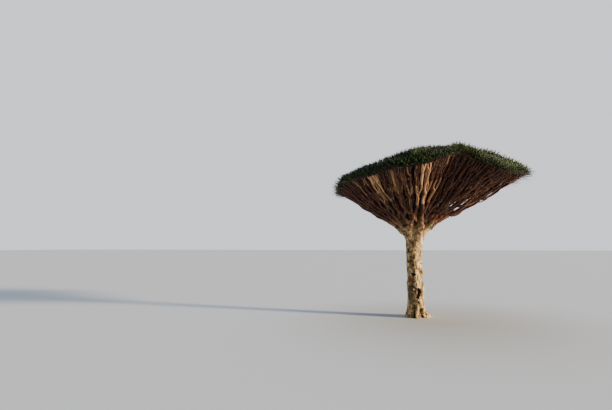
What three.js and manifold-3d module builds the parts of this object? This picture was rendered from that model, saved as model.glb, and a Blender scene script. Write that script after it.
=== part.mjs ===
// Dragon blood tree, Dracaena cinnabari: a stout pale trunk that forks into seven boughs, which fork again
// and again into an umbrella of even branches, each tipped with a rosette of stiff sword-shaped leaves.
// Millimetres, +Z up. The origin is the middle of the flat cut under the trunk, and -Y faces the viewer.
import * as THREE from "three";
import { mergeVertices } from "three/addons/utils/BufferGeometryUtils.js";
import Module from "manifold-3d";

const wasm = await Module();
wasm.setup();

// Trunk
const TRUNK_RADIUS = 256;
const TRUNK_TOP = 2700; // where the column closes, inside the fork
const TRUNK_SIDES = 28;
const RING_HEIGHTS = [
  0, 60, 130, 220, 330, 470, 620, 780, 930, 1060, 1180, 1300, 1460, 1700, 1980, 2240, 2440, 2570, 2650,
  TRUNK_TOP,
];
// How much wider or narrower than TRUNK_RADIUS the column is, by height: [height, share].
const TRUNK_PROFILE = [
  [0, 1.12],
  [200, 1.02],
  [500, 1.0],
  [780, 1.05],
  [1060, 1.07],
  [1300, 0.95],
  [1840, 1.01],
  [2240, 1.03],
  [2440, 1.06],
  [2570, 1.05],
  [2650, 0.72],
  [TRUNK_TOP, 0.3],
];
// Root flare: each ridge runs down the foot of the trunk and spreads at the ground.
const ROOT_RIDGES = [
  { azimuth: -8, spread: 235, height: 250, narrow: 9 },
  { azimuth: -52, spread: 130, height: 330, narrow: 12 },
  { azimuth: -98, spread: 90, height: 300, narrow: 14 },
  { azimuth: -150, spread: 60, height: 420, narrow: 8 },
  { azimuth: 150, spread: 110, height: 260, narrow: 10 },
  { azimuth: 95, spread: 95, height: 300, narrow: 10 },
  { azimuth: 45, spread: 120, height: 230, narrow: 12 },
];
const FLUTE_DEPTH = 7;
const FLUTE_COUNT = 6;
const TRUNK_SWAY = 26; // sideways wander of the column's middle line

// Crown: every limb and leaf is placed by rays from the hub, which lies inside the fork.
const HUB_HEIGHT = 2450;
const CROWN_TILT = 56.3; // degrees from upright to the rim, seen from the hub
const CROWN_TILT_LEAN = 1.8; // more of it towards +X
const CROWN_TILT_BACK = 2.4; // and towards +Y
const NOTCH = { depth: 9.5, azimuth: -59, width: 14.5 }; // where the rim draws in and up, in degrees
const BOW = 0.03; // how much further out limbs run halfway than at either end, as a share
const REACH_TOP = 2655; // hub to the rosettes straight above
const REACH_RIM = 3680; // hub to the rosettes at the rim
const REACH_POWER = 1.65; // how late the reach grows from the one to the other
const REACH_LEAN = 420; // the rim reaches this much further towards +X
const RIM_LOBES = 0.022; // unevenness of the rim, as a share of the reach
const WEDGES = 6;
const WEDGE_START = -26; // azimuth of the first wedge's edge, in degrees
const CENTRE_SHARE = 0.27; // radius of the centre mass, as a share of the crown
const RING_SHARE = 0.8; // where the inner masses end and the outer ones begin
const PROUD = { centre: 1.02, inner: 1.015, outer: 0.985 }; // a ring's reach, as a share of the crown's

// Shares of a ray where the limbs fork
const STUB_END = 0.17;
const FORK_INNER = 0.22;
const FORK_OUTER = 0.29;
const LIMB_SHARES = { stub: 0.66, inner: 0.74, outer: 0.83 }; // how far out the leaders pass there
const MASS_START = { centre: 0.34, inner: 0.35, outer: 0.37 };
const TWIG_FORKS = [0.42, 0.55, 0.69, 0.82]; // where the stem and each order of twigs in a mass fork
const ORDERS = { centre: 3, inner: 4, outer: 3 }; // how often a mass forks on the way to its rosettes

// Limb radii
const PRIMARY_RADIUS = 155;
const LEADER_TIP_RADIUS = 64;
const ARM_RADIUS = 92;
const ARM_TIP_RADIUS = 60;
const TWIG_RADII = [60, 57, 48, 41, 34]; // at the mass's start and at each order's forks
const TIP_RADIUS = 27;
const BOUGH_SIDES = 10;
const BOUGH_STEP = 260; // length of the bands that a bough is bent by
const ARM_SIDES = 8;
const STEM_SIDES = 6;
const COLLAR = 1.7; // height of a fork's opening, in radii
const TWIG_SIDES = 3;
const CLEAR = 0.3;

// Rosettes of leaves: a star of blades, in which every fourth one stands up
const LEAF_LENGTH = 440;
const BLADES = 10;
const SPREADING = { rise: 20, length: 1 };
const UPRIGHT = { rise: 62, length: 0.82 };
const PARTING = { rise: 33, share: 0.56 }; // where blades part, as a share of the side of their space
const HEART_RISE = 170; // height of a rosette's middle over the end of its twig
const SHORTEN = 0.93; // a blade that would leave its space shortens by this share
const SHORTEST = 0.6; // and once it is this short it stands up, by this many degrees at a time
const RISE_STEP = 9;
const MOST_RISE = 86;
const SPACE_MARGIN = 6;

const BARK = new THREE.MeshStandardMaterial({ color: 0xb7a488, roughness: 0.9, metalness: 0 });
const LIMB_BARK = new THREE.MeshStandardMaterial({ color: 0x8c6646, roughness: 0.88, metalness: 0 });
const FOLIAGE = new THREE.MeshStandardMaterial({ color: 0x3e5a22, roughness: 0.6, metalness: 0 });

const radians = THREE.MathUtils.degToRad;
const HUB = new THREE.Vector3(0, 0, HUB_HEIGHT);
const UP = new THREE.Vector3(0, 0, 1);

// A number from -1 to 1 that belongs to a key and is the same on every run.
function chance(key, use) {
  let h = Math.imul((key * 16 + use) ^ 0x9e3779b9, 0x85ebca6b);
  h ^= h >>> 13;
  h = Math.imul(h, 0xc2b2ae35);
  h ^= h >>> 16;
  return (h >>> 0) / 2147483648 - 1;
}

// How far the rim draws in at an azimuth, as an angle at the hub.
function notch(azimuth) {
  const aside = THREE.MathUtils.euclideanModulo(azimuth - radians(NOTCH.azimuth) + Math.PI, Math.PI * 2) - Math.PI;
  return radians(NOTCH.depth) * Math.exp(-((aside / radians(NOTCH.width)) ** 2));
}

function fullTilt(azimuth) {
  return radians(CROWN_TILT + CROWN_TILT_LEAN * Math.cos(azimuth) + CROWN_TILT_BACK * Math.sin(azimuth));
}

// The angle from upright to a ray, for an azimuth and a share of the way from the middle to the rim.
function rayTilt(azimuth, share) {
  return fullTilt(azimuth) * share - notch(azimuth) * share ** 4;
}

// The share of the ray that stands at an angle, found by trying closer and closer values.
function shareOf(azimuth, tilt) {
  let share = tilt / fullTilt(azimuth);
  for (let i = 0; i < 30; i++) share = (tilt + notch(azimuth) * Math.min(share, 1.2) ** 4) / fullTilt(azimuth);
  return share;
}

// Distance from the hub to the rosettes, for an azimuth and a share of the way from the middle to the rim.
function reach(azimuth, share) {
  const lobes = 1 + RIM_LOBES * share * (Math.sin(3 * azimuth + 0.6) + Math.sin(5 * azimuth + 2.1));
  const lean = REACH_LEAN * Math.sin((share * Math.PI) / 2) * Math.cos(azimuth);
  return (REACH_TOP + (REACH_RIM - REACH_TOP) * share ** REACH_POWER + lean) * lobes;
}

// The point of the crown on a ray, at a part of its length; grow is a mass's own share of the crown's reach.
function crownPoint(azimuth, share, part, grow = 1) {
  const tilt = rayTilt(azimuth, share) * (1 + BOW * Math.sin(Math.PI * Math.min(part, 1)));
  const level = new THREE.Vector3(Math.cos(azimuth), Math.sin(azimuth), 0);
  return new THREE.Vector3(0, 0, Math.cos(tilt))
    .addScaledVector(level, Math.sin(tilt))
    .multiplyScalar(reach(azimuth, share) * part * grow)
    .add(HUB);
}

// A patch of the crown is a range of azimuth and of share. Its ray is where its branch heads.
const patchWidth = (p) => (p.high - p.low) * Math.sin((radians(CROWN_TILT) * (p.inside + p.outside)) / 2);
const patchDepth = (p) => (p.outside - p.inside) * radians(CROWN_TILT);

// How far out a patch is parted so that a part of its area lies within.
const shareWithin = (p, part) => Math.sqrt(p.inside ** 2 + (p.outside ** 2 - p.inside ** 2) * part);

function patchRay(p, key, wander = 0.07) {
  const across = 0.5 + wander * chance(key, 1);
  return { azimuth: p.low + (p.high - p.low) * across, share: shareWithin(p, 0.5 + wander * chance(key, 2)) };
}

// Splits a patch over its longer side, near the middle.
function split(p, key) {
  const at = 0.5 + 0.06 * chance(key, 3);
  if (patchWidth(p) > patchDepth(p)) {
    const azimuth = p.low + (p.high - p.low) * at;
    return [
      { ...p, high: azimuth, whole: false },
      { ...p, low: azimuth, whole: false },
    ];
  }
  const share = shareWithin(p, at);
  return [
    { ...p, outside: share },
    { ...p, inside: share },
  ];
}

function solidOf(geometry) {
  geometry.deleteAttribute("normal");
  geometry.deleteAttribute("uv");
  const merged = mergeVertices(geometry, 1e-3);
  return new wasm.Manifold(
    new wasm.Mesh({
      numProp: 3,
      vertProperties: merged.attributes.position.array,
      triVerts: new Uint32Array(merged.index.array),
    }),
  );
}

function meshOf(name, solid, material) {
  const { numProp, vertProperties, triVerts } = solid.getMesh();
  const positions = new Float32Array((vertProperties.length / numProp) * 3);
  for (let i = 0; i < positions.length / 3; i++)
    positions.set(vertProperties.subarray(i * numProp, i * numProp + 3), i * 3);
  const geometry = new THREE.BufferGeometry();
  geometry.setAttribute("position", new THREE.BufferAttribute(positions, 3));
  geometry.setIndex(new THREE.BufferAttribute(triVerts, 1));
  const flat = geometry.toNonIndexed();
  flat.computeVertexNormals();
  const mesh = new THREE.Mesh(flat, material);
  mesh.name = name;
  return mesh;
}

// A cylinder bent along a curve, from share a to share b of its length, with a radius for each share.
function bent(curve, a, b, radiusAt, sides, steps) {
  const geometry = new THREE.CylinderGeometry(1, 1, 1, sides, steps);
  const reference = curve.sideways;
  const position = geometry.attributes.position;
  for (let i = 0; i < position.count; i++) {
    const u = a + (b - a) * (position.getY(i) + 0.5);
    const tangent = curve.getTangentAt(u);
    const across = reference.clone().addScaledVector(tangent, -tangent.dot(reference)).normalize();
    const out = new THREE.Vector3().crossVectors(across, tangent);
    const point = curve
      .getPointAt(u)
      .addScaledVector(across, position.getX(i) * radiusAt(u))
      .addScaledVector(out, position.getZ(i) * radiusAt(u));
    position.setXYZ(i, point.x, point.y, point.z);
  }
  return solidOf(geometry);
}

// A limb's middle line through its forks, with the direction that its rings are squared to.
function limbCurve(points, azimuth) {
  const curve = new THREE.CatmullRomCurve3(points, false, "centripetal");
  curve.arcLengthDivisions = 400;
  curve.sideways = new THREE.Vector3(-Math.sin(azimuth), Math.cos(azimuth), 0);
  return curve;
}

function taper(curve, start, end, flare = 0) {
  const length = curve.getLength();
  return (u) => start + (end - start) * u + flare * Math.exp((-u * length) / 110);
}

// Where along the curve it passes a point of it.
function shareAt(curve, point) {
  let best = 0;
  const away = (u) => curve.getPointAt(u).distanceTo(point);
  for (let i = 0; i <= 400; i++) if (away(i / 400) < away(best)) best = i / 400;
  return best;
}

function largest(solid) {
  return solid.decompose().reduce((a, b) => (b.volume() > a.volume() ? b : a));
}

function profileShare(height) {
  const next = TRUNK_PROFILE.findIndex(([h]) => h >= height);
  if (next <= 0) return TRUNK_PROFILE[0][1];
  const [h0, s0] = TRUNK_PROFILE[next - 1];
  const [h1, s1] = TRUNK_PROFILE[next];
  return THREE.MathUtils.lerp(s0, s1, THREE.MathUtils.smoothstep(height, h0, h1));
}

function trunkRadius(azimuth, height) {
  let radius = TRUNK_RADIUS * profileShare(height);
  for (const ridge of ROOT_RIDGES) {
    const facing = Math.max(0, Math.cos(azimuth - radians(ridge.azimuth)));
    radius += ridge.spread * Math.exp(-height / (ridge.height / 2)) * facing ** ridge.narrow;
  }
  const flutes = Math.cos(FLUTE_COUNT * azimuth + height / 700);
  return radius + FLUTE_DEPTH * flutes * THREE.MathUtils.smoothstep(TRUNK_TOP - height, 0, 500);
}

function trunkMiddle(height) {
  const rise = height / TRUNK_TOP;
  return {
    x: TRUNK_SWAY * Math.sin(rise * Math.PI * 2.2) * rise,
    y: -0.7 * TRUNK_SWAY * Math.sin(rise * Math.PI * 1.6),
  };
}

function trunkColumn() {
  const rings = RING_HEIGHTS.length - 1;
  const geometry = new THREE.CylinderGeometry(1, 1, rings, TRUNK_SIDES, rings);
  const position = geometry.attributes.position;
  for (let i = 0; i < position.count; i++) {
    const height = RING_HEIGHTS[Math.round(position.getY(i) + rings / 2)];
    const across = Math.hypot(position.getX(i), position.getZ(i));
    const azimuth = Math.atan2(-position.getZ(i), position.getX(i));
    const radius = across > 0.5 ? trunkRadius(azimuth, height) : 0;
    const middle = trunkMiddle(height);
    position.setXYZ(i, middle.x + radius * Math.cos(azimuth), middle.y + radius * Math.sin(azimuth), height);
  }
  return solidOf(geometry);
}

// A closed mesh that is built up from rings. Each ring runs anticlockwise round the way that the limb grows.
class Shell {
  constructor() {
    this.points = [];
    this.faces = [];
  }

  add(point) {
    this.points.push(point);
    return this.points.length - 1;
  }

  // A ring whose first and last corners stand either side of the way it faces.
  ring(centre, axis, facing, radius, corners) {
    const across = facing.clone().addScaledVector(axis, -axis.dot(facing)).normalize();
    const aside = new THREE.Vector3().crossVectors(axis, across);
    return Array.from({ length: corners }, (_, k) => {
      const angle = ((k + 0.5) * 2 * Math.PI) / corners;
      const out = across.clone().multiplyScalar(Math.cos(angle)).addScaledVector(aside, Math.sin(angle));
      return this.add(centre.clone().addScaledVector(out, radius));
    });
  }

  middle(ring) {
    const sum = new THREE.Vector3();
    for (const i of ring) sum.add(this.points[i]);
    return sum.divideScalar(ring.length);
  }

  // Joins two rings by a band of triangles, each corner to the one nearest in angle round the axis.
  stitch(lower, upper, axis, upperMiddle = this.middle(upper)) {
    const across = this.points[lower[0]].clone().sub(this.middle(lower));
    across.addScaledVector(axis, -axis.dot(across)).normalize();
    const aside = new THREE.Vector3().crossVectors(axis, across);
    const angles = (ring, centre) =>
      ring.map((i) => {
        const v = this.points[i].clone().sub(centre);
        return Math.atan2(v.dot(aside), v.dot(across));
      });
    const round = (angle) => THREE.MathUtils.euclideanModulo(angle, 2 * Math.PI);
    const unwind = (list, first) => {
      const turned = list.map((_, k) => round(list[(first + k) % list.length] - list[first]));
      return [...turned, 2 * Math.PI].map((x) => x + list[first]);
    };
    const upperAngles = angles(upper, upperMiddle);
    const first = upperAngles.indexOf(upperAngles.reduce((a, b) => (Math.abs(b) < Math.abs(a) ? b : a)));
    const lowerTurns = unwind(angles(lower, this.middle(lower)), 0);
    const upperTurns = unwind(upperAngles, first);
    const low = (i) => lower[i % lower.length];
    const high = (j) => upper[(first + j) % upper.length];
    let i = 0;
    let j = 0;
    while (i < lower.length || j < upper.length) {
      const lowerNext = i < lower.length ? lowerTurns[i + 1] : Infinity;
      const upperNext = j < upper.length ? upperTurns[j + 1] : Infinity;
      if (lowerNext <= upperNext) this.faces.push(low(i), low(++i), high(j));
      else this.faces.push(low(i), high(j + 1), high(j++));
    }
  }

  // Closes a ring with flat triangles that look back down the limb, or with a peak that looks on.
  closeFoot(ring) {
    for (let k = 1; k < ring.length - 1; k++) this.faces.push(ring[0], ring[k + 1], ring[k]);
  }

  closePeak(ring, peak) {
    const top = this.add(peak);
    ring.forEach((corner, k) => this.faces.push(top, corner, ring[(k + 1) % ring.length]));
  }

  solid() {
    return new wasm.Manifold(
      new wasm.Mesh({
        numProp: 3,
        vertProperties: new Float32Array(this.points.flatMap((p) => p.toArray())),
        triVerts: new Uint32Array(this.faces),
      }),
    );
  }
}

// A rosette: blades that share a heart, each with two faces above and two below. A blade that would leave the
// patch shortens and then stands up until it keeps to it.
function rosette(shell, foot, centre, axis, patch, key) {
  const side = new THREE.Vector3().crossVectors(axis, new THREE.Vector3(1, 0, 0)).normalize();
  const ahead = new THREE.Vector3().crossVectors(axis, side);
  const turn = Math.PI * chance(key, 4);
  const at = (angle, rise, length) =>
    centre
      .clone()
      .addScaledVector(side, Math.cos(angle) * Math.cos(radians(rise)) * length)
      .addScaledVector(ahead, Math.sin(angle) * Math.cos(radians(rise)) * length)
      .addScaledVector(axis, Math.sin(radians(rise)) * length);
  const fitted = (angle, rise, length) => {
    const least = length * SHORTEST;
    while (rise < MOST_RISE && !inside(at(angle, rise, length), patch, SPACE_MARGIN)) {
      if (length > least) length *= SHORTEN;
      else rise = Math.min(rise + RISE_STEP, MOST_RISE);
    }
    return shell.add(at(angle, rise, length));
  };
  const step = (Math.PI * 2) / BLADES;
  const parting = Math.sqrt(patchWidth(patch) * patchDepth(patch)) * centre.distanceTo(HUB) * PARTING.share;
  const outline = [];
  for (let i = 0; i < BLADES; i++) {
    const angle = turn + i * step;
    const blade = i % 4 === 3 ? UPRIGHT : SPREADING;
    const length = blade.length * LEAF_LENGTH * (1 + 0.1 * chance(key * 16 + i, 13));
    outline.push(fitted(angle, blade.rise, length), fitted(angle + step / 2, PARTING.rise, parting));
  }
  shell.stitch(foot, outline, axis, centre);
  shell.closePeak(outline, at(0, 90, HEART_RISE));
}

// Whether a point keeps to a patch's own part of the crown, with a margin in millimetres.
function inside(point, p, margin) {
  const v = point.clone().sub(HUB);
  const azimuth = Math.atan2(v.y, v.x);
  const round = THREE.MathUtils.euclideanModulo(azimuth - (p.low + p.high) / 2 + Math.PI, Math.PI * 2);
  const share = shareOf(azimuth, v.angleTo(UP));
  const aside = Math.hypot(v.x, v.y) * ((p.high - p.low) / 2 - Math.abs(round - Math.PI));
  const ahead = p.outside >= 1 ? Infinity : (p.outside - share) * v.length();
  const behind = p.inside <= 0 ? Infinity : (share - p.inside) * v.length();
  return (p.whole || aside > margin) && ahead > margin && behind > margin;
}

// The twigs and rosettes that grow on from a ring towards a patch, by the same rule at each order.
function grow(shell, from, start, patch, key, order, mass) {
  const aim = (p, k, n) => {
    const ray = patchRay(p, k);
    return crownPoint(ray.azimuth, ray.share, n === mass.orders ? 1 : TWIG_FORKS[n], mass.grow);
  };
  const end = order ? aim(patch, key, order) : mass.fork;
  const heading = end.clone().sub(start).normalize();
  const radius = TWIG_RADII[order + 1];
  if (order === mass.orders) {
    const axis = heading.clone().addScaledVector(UP, 1.1).normalize();
    const tip = shell.ring(end, axis, shell.points[from[0]].clone().sub(start), TIP_RADIUS, TWIG_SIDES);
    shell.stitch(from, tip, heading);
    rosette(shell, tip, end, axis, patch, key);
    return;
  }
  const halves = split(patch, key);
  const next = halves.map((half, i) => aim(half, key * 2 + i, order + 1).sub(end).normalize());
  const lead = chance(key, 5) > 0 ? 1 : 0;
  const between = heading.clone().add(next[lead]).normalize();
  const low = shell.ring(end, between, next[1 - lead], radius, TWIG_SIDES);
  shell.stitch(from, low, heading);
  const collar = end.clone().addScaledVector(next[lead], radius * COLLAR);
  const high = shell.ring(collar, next[lead], next[1 - lead], radius, TWIG_SIDES);
  for (const k of [0, 1])
    shell.faces.push(low[k], low[k + 1], high[k + 1], low[k], high[k + 1], high[k]);
  const opening = [low[2], low[0], high[0], high[2]];
  grow(shell, high, collar, halves[lead], key * 2 + lead, order + 1, mass);
  grow(shell, opening, shell.middle(opening), halves[1 - lead], key * 2 + 1 - lead, order + 1, mass);
}

// A mass: the stem goes on from its bough's curve, and everything else branches from the stem's tip.
function massSolid(mass) {
  const { curve, start } = mass;
  const shell = new Shell();
  const ring = (u) =>
    shell.ring(curve.getPointAt(u), curve.getTangentAt(u), curve.sideways, TWIG_RADII[0], STEM_SIDES);
  const foot = start + CLEAR / curve.getLength();
  const lower = ring(foot);
  const upper = ring((foot + 1) / 2);
  shell.closeFoot(lower);
  shell.stitch(lower, upper, curve.getTangentAt(foot));
  mass.fork = curve.getPointAt(1);
  grow(shell, upper, shell.middle(upper), mass.patch, mass.key, 0, mass);
  return shell.solid();
}

function makeMass(name, patch, key, ring) {
  return { name, patch, key, orders: ORDERS[ring], grow: PROUD[ring] * (1 + 0.012 * chance(key, 7)) };
}

// The point where a mass's stem first forks, and the point where the stem starts.
function massPoints(mass, start) {
  const ray = patchRay(mass.patch, mass.key, 0.04);
  const at = (part) => crownPoint(ray.azimuth, ray.share, part, mass.grow);
  return [at(start), at(TWIG_FORKS[0])];
}

function wedgeEdge(k) {
  return radians(WEDGE_START + (360 / WEDGES) * k + 7 * chance(k % WEDGES, 8));
}

const trunkParts = [trunkColumn()];
const boughs = [];
const masses = [];

// A bough from the trunk to its mass, and the short stub at its foot that is part of the trunk. It returns
// the room that the bough takes up, which the boughs that fork off it are cut clear of.
function leader(name, points, azimuth, mass) {
  const curve = limbCurve([HUB.clone().addScaledVector(UP, -150), ...points], azimuth);
  const cut = shareAt(curve, points[0]);
  const end = shareAt(curve, points.at(-2));
  const radius = taper(curve, PRIMARY_RADIUS, LEADER_TIP_RADIUS);
  trunkParts.push(bent(curve, 0, cut, radius, BOUGH_SIDES, 4));
  const steps = Math.ceil(curve.getLength() / BOUGH_STEP);
  const foot = cut + CLEAR / curve.getLength();
  boughs.push({ name, solid: bent(curve, foot, end, radius, BOUGH_SIDES, steps) });
  masses.push({ ...mass, curve, start: end });
  const swollen = (u) => radius(u) + CLEAR / Math.cos(Math.PI / BOUGH_SIDES);
  return bent(curve, cut, end, swollen, BOUGH_SIDES, steps);
}

// A bough that forks off another one.
function arm(name, from, points, azimuth, mass, neighbours) {
  const curve = limbCurve([from, ...points], azimuth);
  const end = shareAt(curve, points.at(-2));
  const radius = taper(curve, ARM_RADIUS, ARM_TIP_RADIUS, 10);
  let solid = bent(curve, 0, end, radius, ARM_SIDES, 5);
  for (const other of neighbours) solid = solid.subtract(other);
  boughs.push({ name, solid: largest(solid) });
  masses.push({ ...mass, curve, start: end });
  const swollen = (u) => radius(u) + CLEAR / Math.cos(Math.PI / ARM_SIDES);
  return bent(curve, 0, end, swollen, ARM_SIDES, 5);
}

function centreBough() {
  const patch = { low: 0, high: Math.PI * 2, inside: 0, outside: CENTRE_SHARE, whole: true };
  const mass = makeMass("crown_centre", patch, 7, "centre");
  const at = (part, share) => crownPoint(radians(40), share, part, mass.grow);
  const points = [at(STUB_END, 0), at(0.25, 0.09), at(MASS_START.centre, 0.06), at(TWIG_FORKS[0], 0.02)];
  leader("bough_centre", points, radians(90), mass);
}

function wedgeBoughs(k) {
  const low = wedgeEdge(k);
  const high = wedgeEdge(k + 1);
  const azimuth = (low + high) / 2;
  const ringShare = RING_SHARE + 0.03 * chance(k, 9);
  const wedge = { low, high, inside: CENTRE_SHARE, outside: 1 };
  const outer = { ...wedge, inside: ringShare };
  const middle = low + (high - low) * (0.5 + 0.05 * chance(k, 10));
  const key = 8 + k * 4;
  const inner = makeMass(`crown_${k + 1}_inner`, { ...wedge, outside: ringShare }, key, "inner");
  const left = makeMass(`crown_${k + 1}_left`, { ...outer, low: middle }, key + 1, "outer");
  const right = makeMass(`crown_${k + 1}_right`, { ...outer, high: middle }, key + 2, "outer");
  const leads = k % 2 ? left : right;
  const follows = k % 2 ? right : left;
  const stub = crownPoint(azimuth, LIMB_SHARES.stub, STUB_END);
  const forkInner = crownPoint(azimuth, LIMB_SHARES.inner, FORK_INNER);
  const forkOuter = crownPoint(patchRay(outer, key + 3, 0.05).azimuth, LIMB_SHARES.outer, FORK_OUTER);
  const name = `bough_${k + 1}`;
  const points = [stub, forkInner, forkOuter, ...massPoints(leads, MASS_START.outer)];
  const room = [leader(name, points, azimuth, leads)];
  room.push(arm(`${name}_inner`, forkInner, massPoints(inner, MASS_START.inner), azimuth, inner, room));
  arm(`${name}_outer`, forkOuter, massPoints(follows, MASS_START.outer), azimuth, follows, room);
}

centreBough();
for (let k = 0; k < WEDGES; k++) wedgeBoughs(k);

const tree = new THREE.Group();
tree.add(meshOf("trunk", wasm.Manifold.union(trunkParts), BARK));
for (const { name, solid } of boughs) tree.add(meshOf(name, solid, LIMB_BARK));
for (const mass of masses) tree.add(meshOf(mass.name, massSolid(mass), FOLIAGE));

export default tree;
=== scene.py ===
"""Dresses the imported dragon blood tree: bark with relief, twigs that fork on to their tips, and leaves.

Everything is in metres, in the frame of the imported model: +Z is up, the origin is the middle of the trunk's
foot, and -Y faces the viewer.
"""

import logging
import math
from collections.abc import Iterable, Sequence
from dataclasses import dataclass, field
from enum import Enum, IntEnum

import bpy
import numpy as np
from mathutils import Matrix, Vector

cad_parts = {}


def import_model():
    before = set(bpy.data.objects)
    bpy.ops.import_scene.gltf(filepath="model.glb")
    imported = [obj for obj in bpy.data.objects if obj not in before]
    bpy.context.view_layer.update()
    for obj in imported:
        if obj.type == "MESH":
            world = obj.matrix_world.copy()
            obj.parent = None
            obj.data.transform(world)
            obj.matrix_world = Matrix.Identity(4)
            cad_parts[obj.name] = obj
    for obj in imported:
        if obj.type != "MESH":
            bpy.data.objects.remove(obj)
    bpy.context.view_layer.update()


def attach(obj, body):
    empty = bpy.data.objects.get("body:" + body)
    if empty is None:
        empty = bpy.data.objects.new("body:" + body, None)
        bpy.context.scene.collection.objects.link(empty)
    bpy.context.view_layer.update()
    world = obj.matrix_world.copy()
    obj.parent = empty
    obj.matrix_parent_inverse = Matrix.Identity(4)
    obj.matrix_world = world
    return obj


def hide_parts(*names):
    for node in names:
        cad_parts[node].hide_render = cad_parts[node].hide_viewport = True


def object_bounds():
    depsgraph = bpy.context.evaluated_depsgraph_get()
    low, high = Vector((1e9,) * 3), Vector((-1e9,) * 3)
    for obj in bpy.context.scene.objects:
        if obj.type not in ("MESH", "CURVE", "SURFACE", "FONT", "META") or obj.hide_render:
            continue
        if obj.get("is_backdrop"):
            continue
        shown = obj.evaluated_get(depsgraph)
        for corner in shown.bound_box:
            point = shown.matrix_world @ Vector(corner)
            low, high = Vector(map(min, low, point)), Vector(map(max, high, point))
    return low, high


LOG = logging.getLogger("dragon_blood_tree")
BODY = "root"
UP = Vector((0, 0, 1))
WORD = 0xFFFFFFFF
GOLDEN_ANGLE = math.pi * (3 - math.sqrt(5))
# A leaf's own key is its rosette's times this, plus its number.
BLADE_KEYS = 64
# What is painted on the wood, as attributes of its mesh: painted shade in its cavities, resin stains and bare
# wood.
PAINTS = ("painted_shade", "rust", "bare")
# A Mix node for colours: its setting, and its sockets for share, under colour, over colour and result.
COLOURS = {"data_type": "RGBA"}
SHARE, UNDER, OVER, MIXED = 0, 6, 7, 2
Place = tuple[float, float, float]


class Slot(Enum):
    """The record's material slots."""

    TRUNK = "bark"
    LIMBS = "limb_bark"
    LEAVES = "foliage"


class Ring(Enum):
    """The rings of the crown that a mass of foliage lies in."""

    CENTRE = "centre"
    INNER = "inner"
    OUTER = "outer"


class Draw(IntEnum):
    """What a random number is drawn for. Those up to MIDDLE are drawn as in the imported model's own rule."""

    AZIMUTH = 1
    SHARE = 2
    SPLIT = 3
    TURN = 4
    GROW = 7
    EDGE = 8
    RING = 9
    MIDDLE = 10
    LUMP = 12
    UNEVENNESS = 13
    DRY_SPRAY = 14
    DRY_TWIG = 15
    GREEN = 21
    DRY_LEAVES = 22
    LEAF_TURN = 31
    LEAF_RISE = 32
    LEAF_TWIST = 33
    LEAF_LENGTH = 34
    KNOB = 40
    CROOK = 50


def chance(key: int, use: int) -> float:
    """Gives a number from -1 to 1 that belongs to a key and is the same on every run.

    Args:
        key: The branch that the number is for.
        use: What the number is used for.

    Returns:
        The number.
    """
    h = ((key * 16 + use) ^ 0x9E3779B9) & WORD
    h = (h * 0x85EBCA6B) & WORD
    h ^= h >> 13
    h = (h * 0xC2B2AE35) & WORD
    h ^= h >> 16
    return h / 2147483648 - 1


def smooth(value: np.ndarray) -> np.ndarray:
    """Eases values from 0 to 1 in and out, and holds those outside."""
    held = np.clip(value, 0, 1)
    return held * held * (3 - 2 * held)


def unit(vectors: np.ndarray) -> np.ndarray:
    """Scales vectors, along their last axis, to length 1."""
    return vectors / np.linalg.norm(vectors, axis=-1, keepdims=True)


def level_way(azimuth: float) -> Vector:
    """Gives the level direction at an azimuth in radians."""
    return Vector((math.cos(azimuth), math.sin(azimuth), 0))


def facing(azimuth: float, middle: float, width: float) -> float:
    """Gives how nearly an azimuth in radians faces a middle in degrees, from 1 there down to 0 beyond."""
    aside = (math.degrees(azimuth) - middle + 180) % 360 - 180
    return math.exp(-((aside / width) ** 2))


@dataclass(frozen=True)
class Patch:
    """A range of azimuth and of share of the way out, that one branch serves."""

    low: float
    high: float
    inside: float
    outside: float


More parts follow.
